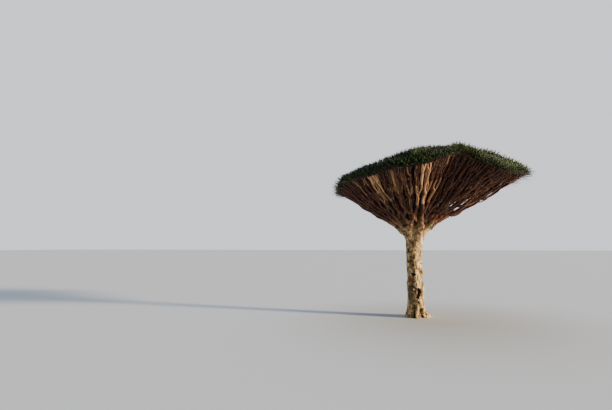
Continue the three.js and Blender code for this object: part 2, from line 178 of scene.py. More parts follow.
@dataclass(frozen=True)
class CrownRule:
    """The rule that places every limb and leaf, on rays from a hub inside the fork.

    Its angles are in degrees.
    """

    hub_height: float = 2.450
    tilt: float = 56.3
    tilt_lean: float = 1.8
    tilt_back: float = 2.4
    # Limbs leave the hub steeper than their ray and then spread on to it, with a slight bow.
    bow: float = 0.02
    draw_in: float = 0.38
    draw_in_power: float = 3.5
    notch: float = 9.5
    notch_azimuth: float = -59.0
    notch_width: float = 14.5
    reach_top: float = 2.655
    reach_rim: float = 3.680
    reach_power: float = 1.65
    reach_lean: float = 0.420
    rim_lobes: float = 0.022
    lobe_waves: tuple[tuple[int, float], ...] = ((3, 0.6), (5, 2.1))
    split_wander: float = 0.06

    def hub(self) -> Vector:
        """Gives the point that all rays start from."""
        return Vector((0, 0, self.hub_height))

    def ray_tilt(self, azimuth: float, share: float) -> float:
        """Gives the angle between upright and a ray.

        Args:
            azimuth: Direction round the trunk, in radians.
            share: How far out the ray points. The rim, at 1, draws in at the notch.

        Returns:
            The angle in radians.
        """
        notch = self.notch * facing(azimuth, self.notch_azimuth, self.notch_width)
        lean = self.tilt_lean * math.cos(azimuth) + self.tilt_back * math.sin(azimuth)
        return math.radians((self.tilt + lean) * share - notch * share**4)

    def reach(self, azimuth: float, share: float) -> float:
        """Gives the distance from the hub to the rosettes.

        Args:
            azimuth: Direction round the trunk, in radians.
            share: How far out, from 0 straight above to 1 at the rim.

        Returns:
            The distance in metres.
        """
        lobes = 1 + self.rim_lobes * share * sum(math.sin(n * azimuth + turn) for n, turn in self.lobe_waves)
        lean = self.reach_lean * math.sin(share * math.pi / 2) * math.cos(azimuth)
        return (self.reach_top + (self.reach_rim - self.reach_top) * share**self.reach_power + lean) * lobes

    def point(self, azimuth: float, share: float, part: float, grow: float = 1.0) -> Vector:
        """Gives a point on a ray of the crown.

        Args:
            azimuth: Direction round the trunk, in radians.
            share: How far out the ray points, from 0 to 1.
            part: How far along the ray the point lies, from 0 to 1.
            grow: The mass's own share of the crown's reach.

        Returns:
            The point.
        """
        bowed = self.bow * math.sin(math.pi * min(part, 1))
        bowed -= self.draw_in * max(0.0, 1 - part) ** self.draw_in_power
        tilt = self.ray_tilt(azimuth, share) * (1 + bowed)
        ray = UP * math.cos(tilt) + level_way(azimuth) * math.sin(tilt)
        return self.hub() + ray * self.reach(azimuth, share) * part * grow

    def width(self, patch: Patch) -> float:
        """Gives a patch's size round the trunk, as an angle at the hub."""
        tilt = math.radians(self.tilt) * (patch.inside + patch.outside) / 2
        return (patch.high - patch.low) * math.sin(tilt)

    def depth(self, patch: Patch) -> float:
        """Gives a patch's size outwards, as an angle at the hub."""
        return (patch.outside - patch.inside) * math.radians(self.tilt)

    @staticmethod
    def share_within(patch: Patch, part: float) -> float:
        """Gives the share that leaves a part of a patch's area further in."""
        return math.sqrt(patch.inside**2 + (patch.outside**2 - patch.inside**2) * part)

    def ray(self, patch: Patch, key: int, wander: float = 0.07) -> tuple[float, float]:
        """Gives the azimuth and share that a patch's branch heads for.

        Args:
            patch: The patch.
            key: The branch's own key.
            wander: How far from the middle it may stray, as a share of the patch.

        Returns:
            The azimuth and the share.
        """
        azimuth = patch.low + (patch.high - patch.low) * (0.5 + wander * chance(key, Draw.AZIMUTH))
        return azimuth, self.share_within(patch, 0.5 + wander * chance(key, Draw.SHARE))

    def split(self, patch: Patch, key: int) -> tuple[Patch, Patch]:
        """Splits a patch over its longer side, near the middle.

        Args:
            patch: The patch.
            key: The branch's own key.

        Returns:
            The two halves.
        """
        at = 0.5 + self.split_wander * chance(key, Draw.SPLIT)
        if self.width(patch) > self.depth(patch):
            azimuth = patch.low + (patch.high - patch.low) * at
            return (
                Patch(patch.low, azimuth, patch.inside, patch.outside),
                Patch(azimuth, patch.high, patch.inside, patch.outside),
            )
        share = self.share_within(patch, at)
        return (
            Patch(patch.low, patch.high, patch.inside, share),
            Patch(patch.low, patch.high, share, patch.outside),
        )


@dataclass(frozen=True)
class Limb:
    """A limb's middle line, with its radius at each point of it."""

    line: np.ndarray
    radii: np.ndarray


@dataclass(frozen=True)
class Mass:
    """A mass of foliage: the node that it stands for, its patch, and where and which way its limb ends."""

    node: str
    patch: Patch
    key: int
    ring: Ring
    grow: float
    fork: Vector = field(default_factory=Vector)
    heading: Vector = field(default_factory=Vector)


@dataclass(frozen=True)
class Twig:
    """A twig from one fork to the next, bowed between its two headings."""

    order: int
    key: int
    parts: tuple[float, float]
    start: Vector
    leaving: Vector
    end: Vector
    arriving: Vector
    radii: tuple[float, float]


@dataclass(frozen=True)
class Rosette:
    """A tuft of leaves: where its heart is, which way it looks and where it lies in the crown."""

    key: int
    heart: Vector
    axis: Vector
    share: float


def curve_through(points: Sequence[Vector], steps: int) -> np.ndarray:
    """Draws the centripetal Catmull-Rom curve through points.

    Args:
        points: The points, first to last.
        steps: How many points to give for each stretch between two of them.

    Returns:
        The curve's points, one row each.
    """
    p = [np.array(point) for point in points]
    p = [2 * p[0] - p[1], *p, 2 * p[-1] - p[-2]]
    line = []
    for a, b, c, d in zip(p, p[1:], p[2:], p[3:]):
        before, along, after = (math.sqrt(np.linalg.norm(v - u)) for u, v in ((a, b), (b, c), (c, d)))
        leave = ((b - a) / before - (c - a) / (before + along) + (c - b) / along) * along
        arrive = ((c - b) / along - (d - b) / (along + after) + (d - c) / after) * along
        square, cube = 3 * (c - b) - 2 * leave - arrive, 2 * (b - c) + leave + arrive
        line += [b + leave * t + square * t**2 + cube * t**3 for t in np.arange(steps) / steps]
    return np.array([*line, p[-2]])


def bowed_line(
    start: np.ndarray, leaving: np.ndarray, end: np.ndarray, arriving: np.ndarray, t: np.ndarray
) -> np.ndarray:
    """Draws cubic curves between two places by their headings there.

    Args:
        start: Where each curve starts.
        leaving: Its heading there, as long as the curve is strong.
        end: Where it ends.
        arriving: Its heading there.
        t: Shares of the way along it.

    Returns:
        The points at those shares.
    """
    return (
        start * (2 * t**3 - 3 * t**2 + 1)
        + leaving * (t**3 - 2 * t**2 + t)
        + end * (3 * t**2 - 2 * t**3)
        + arriving * (t**3 - t**2)
    )


@dataclass(frozen=True)
class CrownPlan:
    """The crown's masses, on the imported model's patches, and the limbs that lead to them."""

    rule: CrownRule = CrownRule()
    wedges: int = 6
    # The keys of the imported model: the centre's, the first wedge's, and how many a wedge has.
    centre_key: int = 7
    first_key: int = 8
    keys_each: int = 4
    wedge_start: float = -26.0
    edge_wander: float = 7.0
    ring_wander: float = 0.03
    middle_wander: float = 0.05
    fork_wander: float = 0.05
    stem_wander: float = 0.04
    grow_wander: float = 0.012
    foot_depth: float = 0.150
    centre_share: float = 0.27
    ring_share: float = 0.8
    stub_end: float = 0.14
    fork_inner: float = 0.13
    fork_outer: float = 0.20
    # The radius of each kind of limb where it starts and where it ends.
    leader_radii: tuple[float, float] = (0.185, 0.074)
    inner_radii: tuple[float, float] = (0.130, 0.105)
    arm_radii: tuple[float, float] = (0.118, 0.070)
    spire_radii: tuple[float, float] = (0.088, 0.026)
    arm_flare: float = 0.010
    arm_flare_length: float = 0.110
    line_steps: int = 12
    stub_share: float = 0.80
    inner_share: float = 0.44
    outer_share: float = 0.86
    inner_bend: float = 0.6
    centre_azimuth: float = 40.0
    centre_shares: tuple[float, ...] = (0.02, 0.05, 0.05)
    # The straight leader: how far along its ray each point lies, and how far out the ray points.
    spire_points: tuple[tuple[float, float], ...] = (
        (0.14, 0.02),
        (0.30, 0.0),
        (0.44, 0.04),
        (0.62, 0.0),
        (0.90, 0.03),
    )
    mass_start: dict[Ring, float] = field(
        default_factory=lambda: {Ring.CENTRE: 0.17, Ring.INNER: 0.20, Ring.OUTER: 0.25}
    )
    proud: dict[Ring, float] = field(
        default_factory=lambda: {Ring.CENTRE: 1.02, Ring.INNER: 1.015, Ring.OUTER: 0.985}
    )
    first_fork: dict[Ring, float] = field(
        default_factory=lambda: {Ring.CENTRE: 0.22, Ring.INNER: 0.22, Ring.OUTER: 0.28}
    )

    def mass(self, node: str, patch: Patch, key: int, ring: Ring) -> Mass:
        """Sets out a mass of foliage, with its own small share of extra reach."""
        grow = self.proud[ring] * (1 + self.grow_wander * chance(key, Draw.GROW))
        return Mass(node, patch, key, ring, grow)

    def mass_points(self, mass: Mass) -> list[Vector]:
        """Gives the point where a mass's stem starts and the point where it first forks."""
        azimuth, share = self.rule.ray(mass.patch, mass.key, self.stem_wander)
        return [
            self.rule.point(azimuth, share, part, mass.grow)
            for part in (self.mass_start[mass.ring], self.first_fork[mass.ring])
        ]

    def wedge_edge(self, k: int) -> float:
        """Gives the azimuth of the edge before wedge k."""
        wander = self.edge_wander * chance(k % self.wedges, Draw.EDGE)
        return math.radians(self.wedge_start + 360 / self.wedges * k + wander)

    def _grown(self, mass: Mass, line: np.ndarray) -> Mass:
        """Gives the mass with its first fork at the end of a limb's line."""
        heading = Vector(line[-1] - line[-2]).normalized()
        return Mass(mass.node, mass.patch, mass.key, mass.ring, mass.grow, Vector(line[-1]), heading)

    def _limb(self, points: Sequence[Vector], start: float, end: float, flare: float = 0.0) -> Limb:
        """Draws a limb that tapers from its start to its end.

        Args:
            points: The points that its middle line passes.
            start: Radius at the start.
            end: Radius at the end.
            flare: Extra radius at the start, which dies away.

        Returns:
            The limb.
        """
        line = curve_through(points, self.line_steps)
        along = np.concatenate([[0], np.cumsum(np.linalg.norm(np.diff(line, axis=0), axis=1))])
        radii = start + (end - start) * along / along[-1] + flare * np.exp(-along / self.arm_flare_length)
        return Limb(line, radii)

    def centre(self) -> tuple[list[Limb], list[Mass]]:
        """Lays out the middle bough, the straight leader that runs on up from it, and its mass."""
        patch = Patch(0, math.tau, 0, self.centre_share)
        mass = self.mass("crown_centre", patch, self.centre_key, Ring.CENTRE)
        azimuth = math.radians(self.centre_azimuth)
        parts = (self.stub_end, self.mass_start[Ring.CENTRE], self.first_fork[Ring.CENTRE])
        rays = zip(self.centre_shares, parts)
        points = [self.rule.point(azimuth, share, part, mass.grow) for share, part in rays]
        limb = self._limb([self._foot(), *points], *self.leader_radii)
        straight = [self.rule.point(azimuth, share, part) for part, share in self.spire_points]
        spire = self._limb(straight, *self.spire_radii)
        return [limb, spire], [self._grown(mass, limb.line)]

    def _foot(self) -> Vector:
        """Gives the point under the hub where all leaders start."""
        return self.rule.hub() - UP * self.foot_depth

    def wedge(self, k: int) -> tuple[list[Limb], list[Mass]]:
        """Lays out one wedge: its leader, the two arms that fork off it and the three masses.

        Args:
            k: The wedge's number, from 0.

        Returns:
            The limbs and the masses.
        """
        rule = self.rule
        low, high = self.wedge_edge(k), self.wedge_edge(k + 1)
        azimuth = (low + high) / 2
        ring_share = self.ring_share + self.ring_wander * chance(k, Draw.RING)
        middle = low + (high - low) * (0.5 + self.middle_wander * chance(k, Draw.MIDDLE))
        key = self.first_key + k * self.keys_each
        name = f"crown_{k + 1}"
        inner = self.mass(f"{name}_inner", Patch(low, high, self.centre_share, ring_share), key, Ring.INNER)
        left = self.mass(f"{name}_left", Patch(middle, high, ring_share, 1), key + 1, Ring.OUTER)
        right = self.mass(f"{name}_right", Patch(low, middle, ring_share, 1), key + 2, Ring.OUTER)
        leads, follows = (left, right) if k % 2 else (right, left)
        stub = rule.point(azimuth, self.stub_share, self.stub_end)
        outer_azimuth = rule.ray(Patch(low, high, ring_share, 1), key + 3, self.fork_wander)[0]
        fork_outer = rule.point(outer_azimuth, self.outer_share, self.fork_outer)
        parts = (self.fork_inner * self.inner_bend, self.fork_inner)
        inner_points = [rule.point(azimuth, self.inner_share, part) for part in parts]
        limbs = [
            self._limb([self._foot(), stub, fork_outer, *self.mass_points(leads)], *self.leader_radii),
            self._limb([self._foot(), *inner_points], *self.inner_radii),
            self._limb([fork_outer, *self.mass_points(follows)], *self.arm_radii, self.arm_flare),
        ]
        return limbs, [self._grown(mass, limb.line) for mass, limb in zip((leads, inner, follows), limbs)]


@dataclass(frozen=True)
class Branching:
    """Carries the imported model's rule on, from each mass's first fork to fine twigs tipped with rosettes."""

    rule: CrownRule = CrownRule()
    # How far along its ray each order forks.
    forks: dict[Ring, tuple[float, ...]] = field(
        default_factory=lambda: {
            Ring.CENTRE: (0.22, 0.29, 0.40, 0.55, 0.71, 0.86),
            Ring.INNER: (0.13, 0.26, 0.38, 0.51, 0.64, 0.77, 0.89),
            Ring.OUTER: (0.28, 0.39, 0.51, 0.64, 0.77, 0.89),
        }
    )
    # How thick the wood is at each part of the way out.
    radii: tuple[tuple[float, float], ...] = (
        (0.13, 0.105),
        (0.22, 0.084),
        (0.28, 0.070),
        (0.39, 0.052),
        (0.51, 0.038),
        (0.64, 0.029),
        (0.77, 0.023),
        (0.89, 0.019),
        (1.0, 0.017),
    )
    thicker: dict[Ring, float] = field(
        default_factory=lambda: {Ring.CENTRE: 1.45, Ring.INNER: 1.12, Ring.OUTER: 1.0}
    )
    past_fork: float = 0.95
    fork_spread: float = 1.3
    outward_pull: float = 0.7
    tip_pull: float = 0.5
    rosette_pull: float = 1.7
    lump_order: int = 3
    lump: float = 0.020
    unevenness: float = 0.007

    def grow(self, mass: Mass) -> tuple[list[Twig], list[Rosette]]:
        """Grows a mass from its first fork.

        Args:
            mass: The mass.

        Returns:
            Its twigs and its rosettes.
        """
        twigs: list[Twig] = []
        rosettes: list[Rosette] = []
        self._fork(mass, mass.fork, mass.heading, mass.patch, mass.key, 1, twigs, rosettes)
        return twigs, rosettes

    def _radius(self, part: float) -> float:
        """Gives a twig's radius at a share of the way out from the hub."""
        parts, radii = zip(*self.radii)
        return float(np.interp(part, parts, radii))

    def _proudness(self, key: int, order: int) -> float:
        """Gives how far a twig reaches beyond its mass: twigs of one spray rise or sink together."""
        if order < self.lump_order:
            return 1.0
        spray = key >> (order - self.lump_order)
        return 1 + self.lump * chance(spray, Draw.LUMP) + self.unevenness * chance(key, Draw.UNEVENNESS)

    def _fork(
        self,
        mass: Mass,
        start: Vector,
        heading: Vector,
        patch: Patch,
        key: int,
        order: int,
        twigs: list[Twig],
        rosettes: list[Rosette],
    ) -> None:
        """Parts a patch in two, and grows a twig to each half and on.

        Args:
            mass: The mass that the twigs belong to.
            start: Where the fork is.
            heading: Which way the wood under the fork runs.
            patch: The patch that is served from the fork.
            key: The fork's key.
            order: How many forks lie between here and the bough.
            twigs: Takes the twigs.
            rosettes: Takes the rosettes.
        """
        forks = self.forks[mass.ring]
        last = order == len(forks)
        for i, half in enumerate(self.rule.split(patch, key)):
            child = key * 2 + i
            azimuth, share = self.rule.ray(half, child)
            parts = (forks[order - 1], 1.0 if last else forks[order])
            end = self.rule.point(azimuth, share, parts[1], mass.grow * self._proudness(child, order))
            chord = end - start
            way = chord.normalized()
            outwards = (end - self.rule.hub()).normalized()
            pull = UP * self.tip_pull if last else outwards * self.outward_pull
            arriving = (way + pull).normalized()
            leaving = (way + (way - heading * way.dot(heading)) * self.fork_spread).normalized()
            thicker = 1 + (self.thicker[mass.ring] - 1) * (1 - parts[0])
            radii = (self._radius(parts[0]) * self.past_fork * thicker, self._radius(parts[1]) * thicker)
            twigs.append(
                Twig(order, child, parts, start, leaving * chord.length, end, arriving * chord.length, radii)
            )
            if last:
                rosettes.append(Rosette(child, end, (arriving + UP * self.rosette_pull).normalized(), share))
            else:
                self._fork(mass, end, arriving, half, child, order + 1, twigs, rosettes)


def make_object(name: str, data: bpy.types.ID | None) -> bpy.types.Object:
    """Links a mesh, curve, lamp or camera, or nothing, to the scene as an object at the origin."""
    made = bpy.data.objects.new(name, data)
    bpy.context.scene.collection.objects.link(made)
    return made


def mesh_from_arrays(name: str, vertices: np.ndarray, faces: Sequence[np.ndarray]) -> bpy.types.Mesh:
    """Builds a mesh from arrays.

    Args:
        name: The mesh's name.
        vertices: One row for each vertex.
        faces: Arrays of faces, each with as many columns as its faces have corners.

    Returns:
        The mesh.
    """
    mesh = bpy.data.meshes.new(name)
    corners = np.concatenate([f.ravel() for f in faces]).astype(np.int32)
    totals = np.concatenate([np.full(len(f), f.shape[1]) for f in faces])
    mesh.vertices.add(len(vertices))
    mesh.vertices.foreach_set("co", vertices.astype(np.float32).ravel())
    mesh.loops.add(len(corners))
    mesh.loops.foreach_set("vertex_index", corners)
    mesh.polygons.add(len(totals))
    mesh.polygons.foreach_set("loop_start", np.concatenate([[0], np.cumsum(totals)[:-1]]).astype(np.int32))
    mesh.update(calc_edges=True)
    return mesh


def set_attribute(mesh: bpy.types.Mesh, name: str, values: np.ndarray) -> None:
    """Stores a number for each vertex of a mesh under a name."""
    attribute = mesh.attributes.new(name, "FLOAT", "POINT")
    attribute.data.foreach_set("value", values.astype(np.float32).ravel())


def select_only(chosen: Iterable[bpy.types.Object]) -> None:
    """Selects some objects and nothing else, and makes the first of them active."""
    bpy.ops.object.select_all(action="DESELECT")
    for number, item in enumerate(chosen):
        item.select_set(True)
        if number == 0:
            bpy.context.view_layer.objects.active = item


def positions_of(item: bpy.types.Object) -> np.ndarray:
    """Reads an object's vertices, one row each."""
    flat = np.empty(len(item.data.vertices) * 3, np.float32)
    item.data.vertices.foreach_get("co", flat)
    return flat.reshape(-1, 3)


def count_triangles(item: bpy.types.Object) -> int:
    """Counts the triangles that an object's faces make."""
    totals = np.empty(len(item.data.polygons), np.int32)
    item.data.polygons.foreach_get("loop_total", totals)
    return int((totals - 2).sum())


def stand_for(piece: bpy.types.Object, nodes: Sequence[str]) -> None:
    """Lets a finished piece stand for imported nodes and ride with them, and logs it.

    Args:
        piece: The piece.
        nodes: The nodes that it takes the place of.
    """
    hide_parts(*nodes)
    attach(piece, BODY)
    LOG.info("%s: %d triangles", piece.name, count_triangles(piece))


def linear(hex_colour: str) -> tuple[float, float, float, float]:
    """Turns an sRGB hex colour to linear.

    Args:
        hex_colour: The colour, as #RRGGBB.

    Returns:
        Red, green, blue and alpha.
    """
    channels = [int(hex_colour[i : i + 2], 16) / 255 for i in (1, 3, 5)]
    red, green, blue = (c / 12.92 if c <= 0.04045 else ((c + 0.055) / 1.055) ** 2.4 for c in channels)
    return red, green, blue, 1.0


def scale_of(millimetres: float) -> float:
    """Gives the scale at which a pattern on Object coordinates repeats over a real size."""
    return 1000 / millimetres


def add(
    tree: bpy.types.NodeTree,
    kind: str,
    inputs: dict[str | int, object],
    output: str | int = 0,
    **settings: object,
) -> bpy.types.NodeSocket | None:
    """Adds a node.

    Args:
        tree: The node tree.
        kind: The node's type, without ShaderNode.
        inputs: Sockets by name or number, each with a value or another node's output to link.
        output: The output that is wanted, by name or number.
        settings: The node's own settings.

    Returns:
        That output, or nothing for a node that has none.
    """
    node = tree.nodes.new("ShaderNode" + kind)
    for name, value in settings.items():
        setattr(node, name, value)
    for name, value in inputs.items():
        if isinstance(value, bpy.types.NodeSocket):
            tree.links.new(value, node.inputs[name])
        else:
            node.inputs[name].default_value = value
    return node.outputs[output] if node.outputs else None


def new_material(name: str) -> tuple[bpy.types.Material, bpy.types.NodeTree]:
    """Makes a material with an empty node tree."""
    material = bpy.data.materials.new(name)
    material.use_nodes = True
    material.node_tree.nodes.clear()
    return material, material.node_tree


@dataclass(frozen=True)
class AgedBark:
    """Dragon tree bark, weathered in the open: cream and grey on the trunk, and red-brown on the boughs.

    It gives the eye pale dry patches with run-off streaks, and pits and fine cracks that are dark partly in
    their own colour and partly with painted shade. Three attributes of the wood paint shade into its cavities
    and knot holes, stain it with old resin and lay its smooth grey wood open.
    """

    name: str = "aged_bark"
    pale: str = "#FADB9C"
    grey: str = "#84684A"
    streak: str = "#523C29"
    rust: str = "#80502F"
    # The dark of the bark's cracks and pits: partly their own colour, partly painted shade in them.
    crack_dark_and_shade: str = "#2F2017"
    limb: str = "#824B2E"
    limb_dark: str = "#432316"
    bare: str = "#6F6050"
    # Painted shade for the cavities, the knot holes, the crack over the scar and the hollows between the
    # roots.
    painted_shade: str = "#2B1D14"
    roughness: float = 0.88
    cloud_roughness: float = 0.62
    # The width of each pattern. Real pits and leaf scars are 5 to 10 mm wide, and the grain finer than 1 mm:
    # both are drawn coarser, so that they show from some steps away.
    patch_mm: float = 150
    streak_mm: float = 62
    stain_mm: float = 420
    limb_mm: float = 110
    grain_mm: float = 16
    crack_mm: float = 120
    cracked_mm: float = 190
    pit_mm: float = 135
    pit_edge_mm: float = 38
    paint_edge_mm: float = 55
    lump_mm: float = 85
    wander_mm: float = 80
    wander: tuple[float, float, float] = (0.06, 0.06, 0.09)
    # How much longer than wide streaks and cracks are: their pattern is squeezed upright.
    streak_squeeze: float = 0.16
    crack_squeeze: float = 0.6
    # How ragged the edges of pits and of painted marks are, and how much of a mark shows at the least.
    pit_ragged: float = 0.8
    paint_ragged: float = 0.9
    paint_least: float = 0.55
    # Over these distances from the hub, and these heights about it, the trunk's bark turns to the boughs'.
    turn_from: float = 0.30
    turn_to: float = 1.30
    below_hub: float = -0.3
    above_hub: float = 0.25
    hub: Place = (0, 0, 2.450)

    def material(self) -> bpy.types.Material:
        """Builds the material.

        Returns:
            The material.
        """
        material, tree = new_material(self.name)
        place = add(tree, "TexCoord", {}, "Object")
        upright = add(tree, "Mapping", {"Vector": place, "Scale": (1, 1, self.streak_squeeze)})
        slow = {"Vector": place, "Scale": scale_of(self.wander_mm), "Detail": 3}
        shift = add(tree, "TexNoise", slow, "Color")
        wandered = add(tree, "VectorMath", {0: shift, 1: self.wander, 2: place}, operation="MULTIPLY_ADD")
        squat = add(tree, "Mapping", {"Vector": wandered, "Scale": (1, 1, self.crack_squeeze)})
        clouds = {}
        for name, width, detail, at in (
            ("patch", self.patch_mm, 6, place),
            ("streak", self.streak_mm, 4, upright),
            ("stain", self.stain_mm, 6, place),
            ("limb", self.limb_mm, 5, place),
            ("grain", self.grain_mm, 4, place),
            ("cracked", self.cracked_mm, 3, place),
            ("pit_edge", self.pit_edge_mm, 4, place),
            ("paint_edge", self.paint_edge_mm, 4, place),
            ("lump", self.lump_mm, 4, place),
        ):
            inputs = {"Vector": at, "Scale": scale_of(width), "Detail": detail}
            clouds[name] = add(tree, "TexNoise", {**inputs, "Roughness": self.cloud_roughness})
        plates = {"Vector": squat, "Scale": scale_of(self.crack_mm)}
        crack = add(tree, "TexVoronoi", plates, feature="DISTANCE_TO_EDGE")
        cells = {"Vector": wandered, "Scale": scale_of(self.pit_mm)}
        ragged = {0: clouds["pit_edge"], 1: self.pit_ragged, 2: add(tree, "TexVoronoi", cells)}
        pit = add(tree, "Math", ragged, operation="MULTIPLY_ADD")
        chosen = add(tree, "SeparateColor", {0: add(tree, "TexVoronoi", cells, "Color")})
        away = add(tree, "VectorMath", {0: place, 1: self.hub}, "Value", operation="DISTANCE")
        height = add(tree, "SeparateXYZ", {0: place}, "Z")
        worn = {0: clouds["paint_edge"], 1: self.paint_ragged, 2: self.paint_least}
        edge = add(tree, "Math", worn, operation="MULTIPLY_ADD")
        painted = {}
        for kind in PAINTS:
            own = add(tree, "Attribute", {}, "Fac", attribute_name=kind)
            painted[kind] = add(tree, "Math", {0: own, 1: edge}, operation="MULTIPLY")
        # Each share rises from 0 to its most as its pattern goes from one value to another.
        share = {
            name: add(tree, "MapRange", {"Value": value, "From Min": none, "From Max": full, "To Max": most})
            for name, value, none, full, most in (
                ("patch", clouds["patch"], 0.41, 0.58, 1.0),
                ("streak", clouds["streak"], 0.50, 0.64, 0.85),
                ("stain", clouds["stain"], 0.56, 0.70, 0.55),
                ("limb", clouds["limb"], 0.40, 0.60, 1.0),
                ("grain", clouds["grain"], 0.50, 0.72, 0.45),
                ("crack", crack, 0.045, 0.0, 1.0),
                ("cracked", clouds["cracked"], 0.42, 0.56, 0.85),
                ("pit", pit, 0.71, 0.58, 1.0),
                ("chosen", chosen, 0.46, 0.60, 1.0),
                ("away", away, self.turn_from, self.turn_to, 1.0),
                ("high", height, self.hub[2] + self.below_hub, self.hub[2] + self.above_hub, 1.0),
                *((kind, value, 0.12, 0.75, 1.0) for kind, value in painted.items()),
            )
        }
        for name, first, second in (
            ("cracks", share["crack"], share["cracked"]),
            ("pits", share["pit"], share["chosen"]),
            ("limbs", share["away"], share["high"]),
            ("bare", share["bare"], 0.85),
        ):
            share[name] = add(tree, "Math", {0: first, 1: second}, operation="MULTIPLY")
        # How strongly cracks and pits are darkened, partly in their own colour and partly with painted shade.
        crack_darks_and_shades = [
            add(tree, "Math", {0: share[name], 1: most}, operation="MULTIPLY")
            for name, most in (("cracks", 0.8), ("pits", 0.85))
        ]
        limb, bare = (
            add(tree, "Mix", {SHARE: by, UNDER: linear(under), OVER: linear(over)}, MIXED, **COLOURS)
            for by, under, over in (
                (share["limb"], self.limb_dark, self.limb),
                (share["streak"], self.bare, self.streak),
            )
        )
        colour = linear(self.grey)
        for by, over in (
            (share["patch"], linear(self.pale)),
            (share["streak"], linear(self.streak)),
            (share["stain"], linear(self.rust)),
            (share["limbs"], limb),
            (share["grain"], linear(self.streak)),
            (share["rust"], linear(self.rust)),
            *((crack_dark_and_shade, linear(self.crack_dark_and_shade)) for crack_dark_and_shade in crack_darks_and_shades),
            (share["bare"], bare),
            # Painted shade in the cavities and knot holes.
            (share["painted_shade"], linear(self.painted_shade)),
        ):
            colour = add(tree, "Mix", {SHARE: by, UNDER: colour, OVER: over}, MIXED, **COLOURS)
        surface = {"Base Color": colour, "Roughness": self.roughness}
        relief = {}
        for form, strength, depth, sunk in (
            (clouds["lump"], 0.9, 0.065, False),
            (share["pits"], 0.6, 0.012, True),
            (share["cracks"], 0.6, 0.010, True),
            (clouds["grain"], 0.5, 0.007, False),
        ):
            inputs = {"Height": form, "Strength": strength, "Distance": depth, **relief}
            relief = {"Normal": add(tree, "Bump", inputs, invert=sunk)}
        add(tree, "OutputMaterial", {"Surface": add(tree, "BsdfPrincipled", {**surface, **relief})})
        return material


@dataclass(frozen=True)
class TwigBark:
    """Young dragon tree bark, ringed where old leaves have dropped.

    It gives the eye dark warm sticks, mottled red-brown with bands across them. On some sprays, more at the
    front, it is one plain tan of painted sunlight, whose rings show in relief.
    """

    name: str = "twig_bark"
    # The plain tan of painted sunlight, or none for the dark bark.
    tan: str | None = None
    red_brown: str = "#29160E"
    brown: str = "#6B3D27"
    band: str = "#1D0F0A"
    roughness: float = 0.8
    mottle_mm: float = 70
    # Real leaf scars lie 8 to 12 mm apart: drawn coarser, so that they show from a few steps away.
    band_mm: float = 34
    ring_strength: float = 0.3
    ring_depth: float = 0.003

    def material(self) -> bpy.types.Material:
        """Builds the material.

        Returns:
            The material.
        """
        material, tree = new_material(self.name)
        along = add(tree, "Attribute", {}, "Fac", attribute_name="along")
        turns = add(tree, "Math", {0: along, 1: math.tau * scale_of(self.band_mm)}, operation="MULTIPLY")
        wave = add(tree, "Math", {0: turns}, operation="SINE")
        raised = {"Height": wave, "Strength": self.ring_strength, "Distance": self.ring_depth}
        ring = add(tree, "Bump", raised, invert=True)
        # Twigs with painted sunlight are one plain tan; the others are mottled.
        colour = linear(self.tan) if self.tan else self._mottled(tree, wave)
        surface = {"Base Color": colour, "Roughness": self.roughness, "Normal": ring}
        add(tree, "OutputMaterial", {"Surface": add(tree, "BsdfPrincipled", surface)})
        return material

    def _mottled(self, tree: bpy.types.NodeTree, wave: bpy.types.NodeSocket) -> bpy.types.NodeSocket:
        """Mottles the bark and darkens its bands.

        Args:
            tree: The material's node tree.
            wave: A wave along the twig that is highest on each band.

        Returns:
            The colour.
        """
        place = add(tree, "TexCoord", {}, "Object")
        mottle = add(tree, "TexNoise", {"Vector": place, "Scale": scale_of(self.mottle_mm), "Detail": 5})
        colour = linear(self.red_brown)
        for pattern, none, full, most, over in (
            (mottle, 0.38, 0.62, 1.0, self.brown),
            (wave, 0.55, 1.0, 0.5, self.band),
        ):
            rise = {"Value": pattern, "From Min": none, "From Max": full, "To Max": most}
            layers = {SHARE: add(tree, "MapRange", rise), UNDER: colour, OVER: linear(over)}
            colour = add(tree, "Mix", layers, MIXED, **COLOURS)
        return colour


@dataclass(frozen=True)
class Blade:
    """Dragon tree leaf, thick and waxy: one plain green, its clasping foot, or a leaf dried on the tree.

    It gives the eye a soft gloss along stiff blades, broken by the faint relief of their veins.
    """

    name: str
    green: str
    roughness: float = 0.55
    # Real veins lie about 1 mm apart: drawn coarser, so that they show at all.
    vein_mm: float = 9
    vein_strength: float = 0.2
    vein_depth: float = 0.001

    def material(self) -> bpy.types.Material:
        """Builds the material.

        Returns:
            The material.
        """
        material, tree = new_material(self.name)
        place = add(tree, "TexCoord", {}, "Object")
        veins = add(tree, "TexNoise", {"Vector": place, "Scale": scale_of(self.vein_mm), "Detail": 2})
        raised = {"Height": veins, "Strength": self.vein_strength, "Distance": self.vein_depth}
        relief = add(tree, "Bump", raised)
        surface = {"Base Color": linear(self.green), "Roughness": self.roughness, "Normal": relief}
        add(tree, "OutputMaterial", {"Surface": add(tree, "BsdfPrincipled", surface)})
        return material


@dataclass(frozen=True)
class RootRidge:
    """A ridge that runs down the foot of the trunk and spreads at the ground."""

    azimuth: float
    spread: float
    height: float
    narrow: int


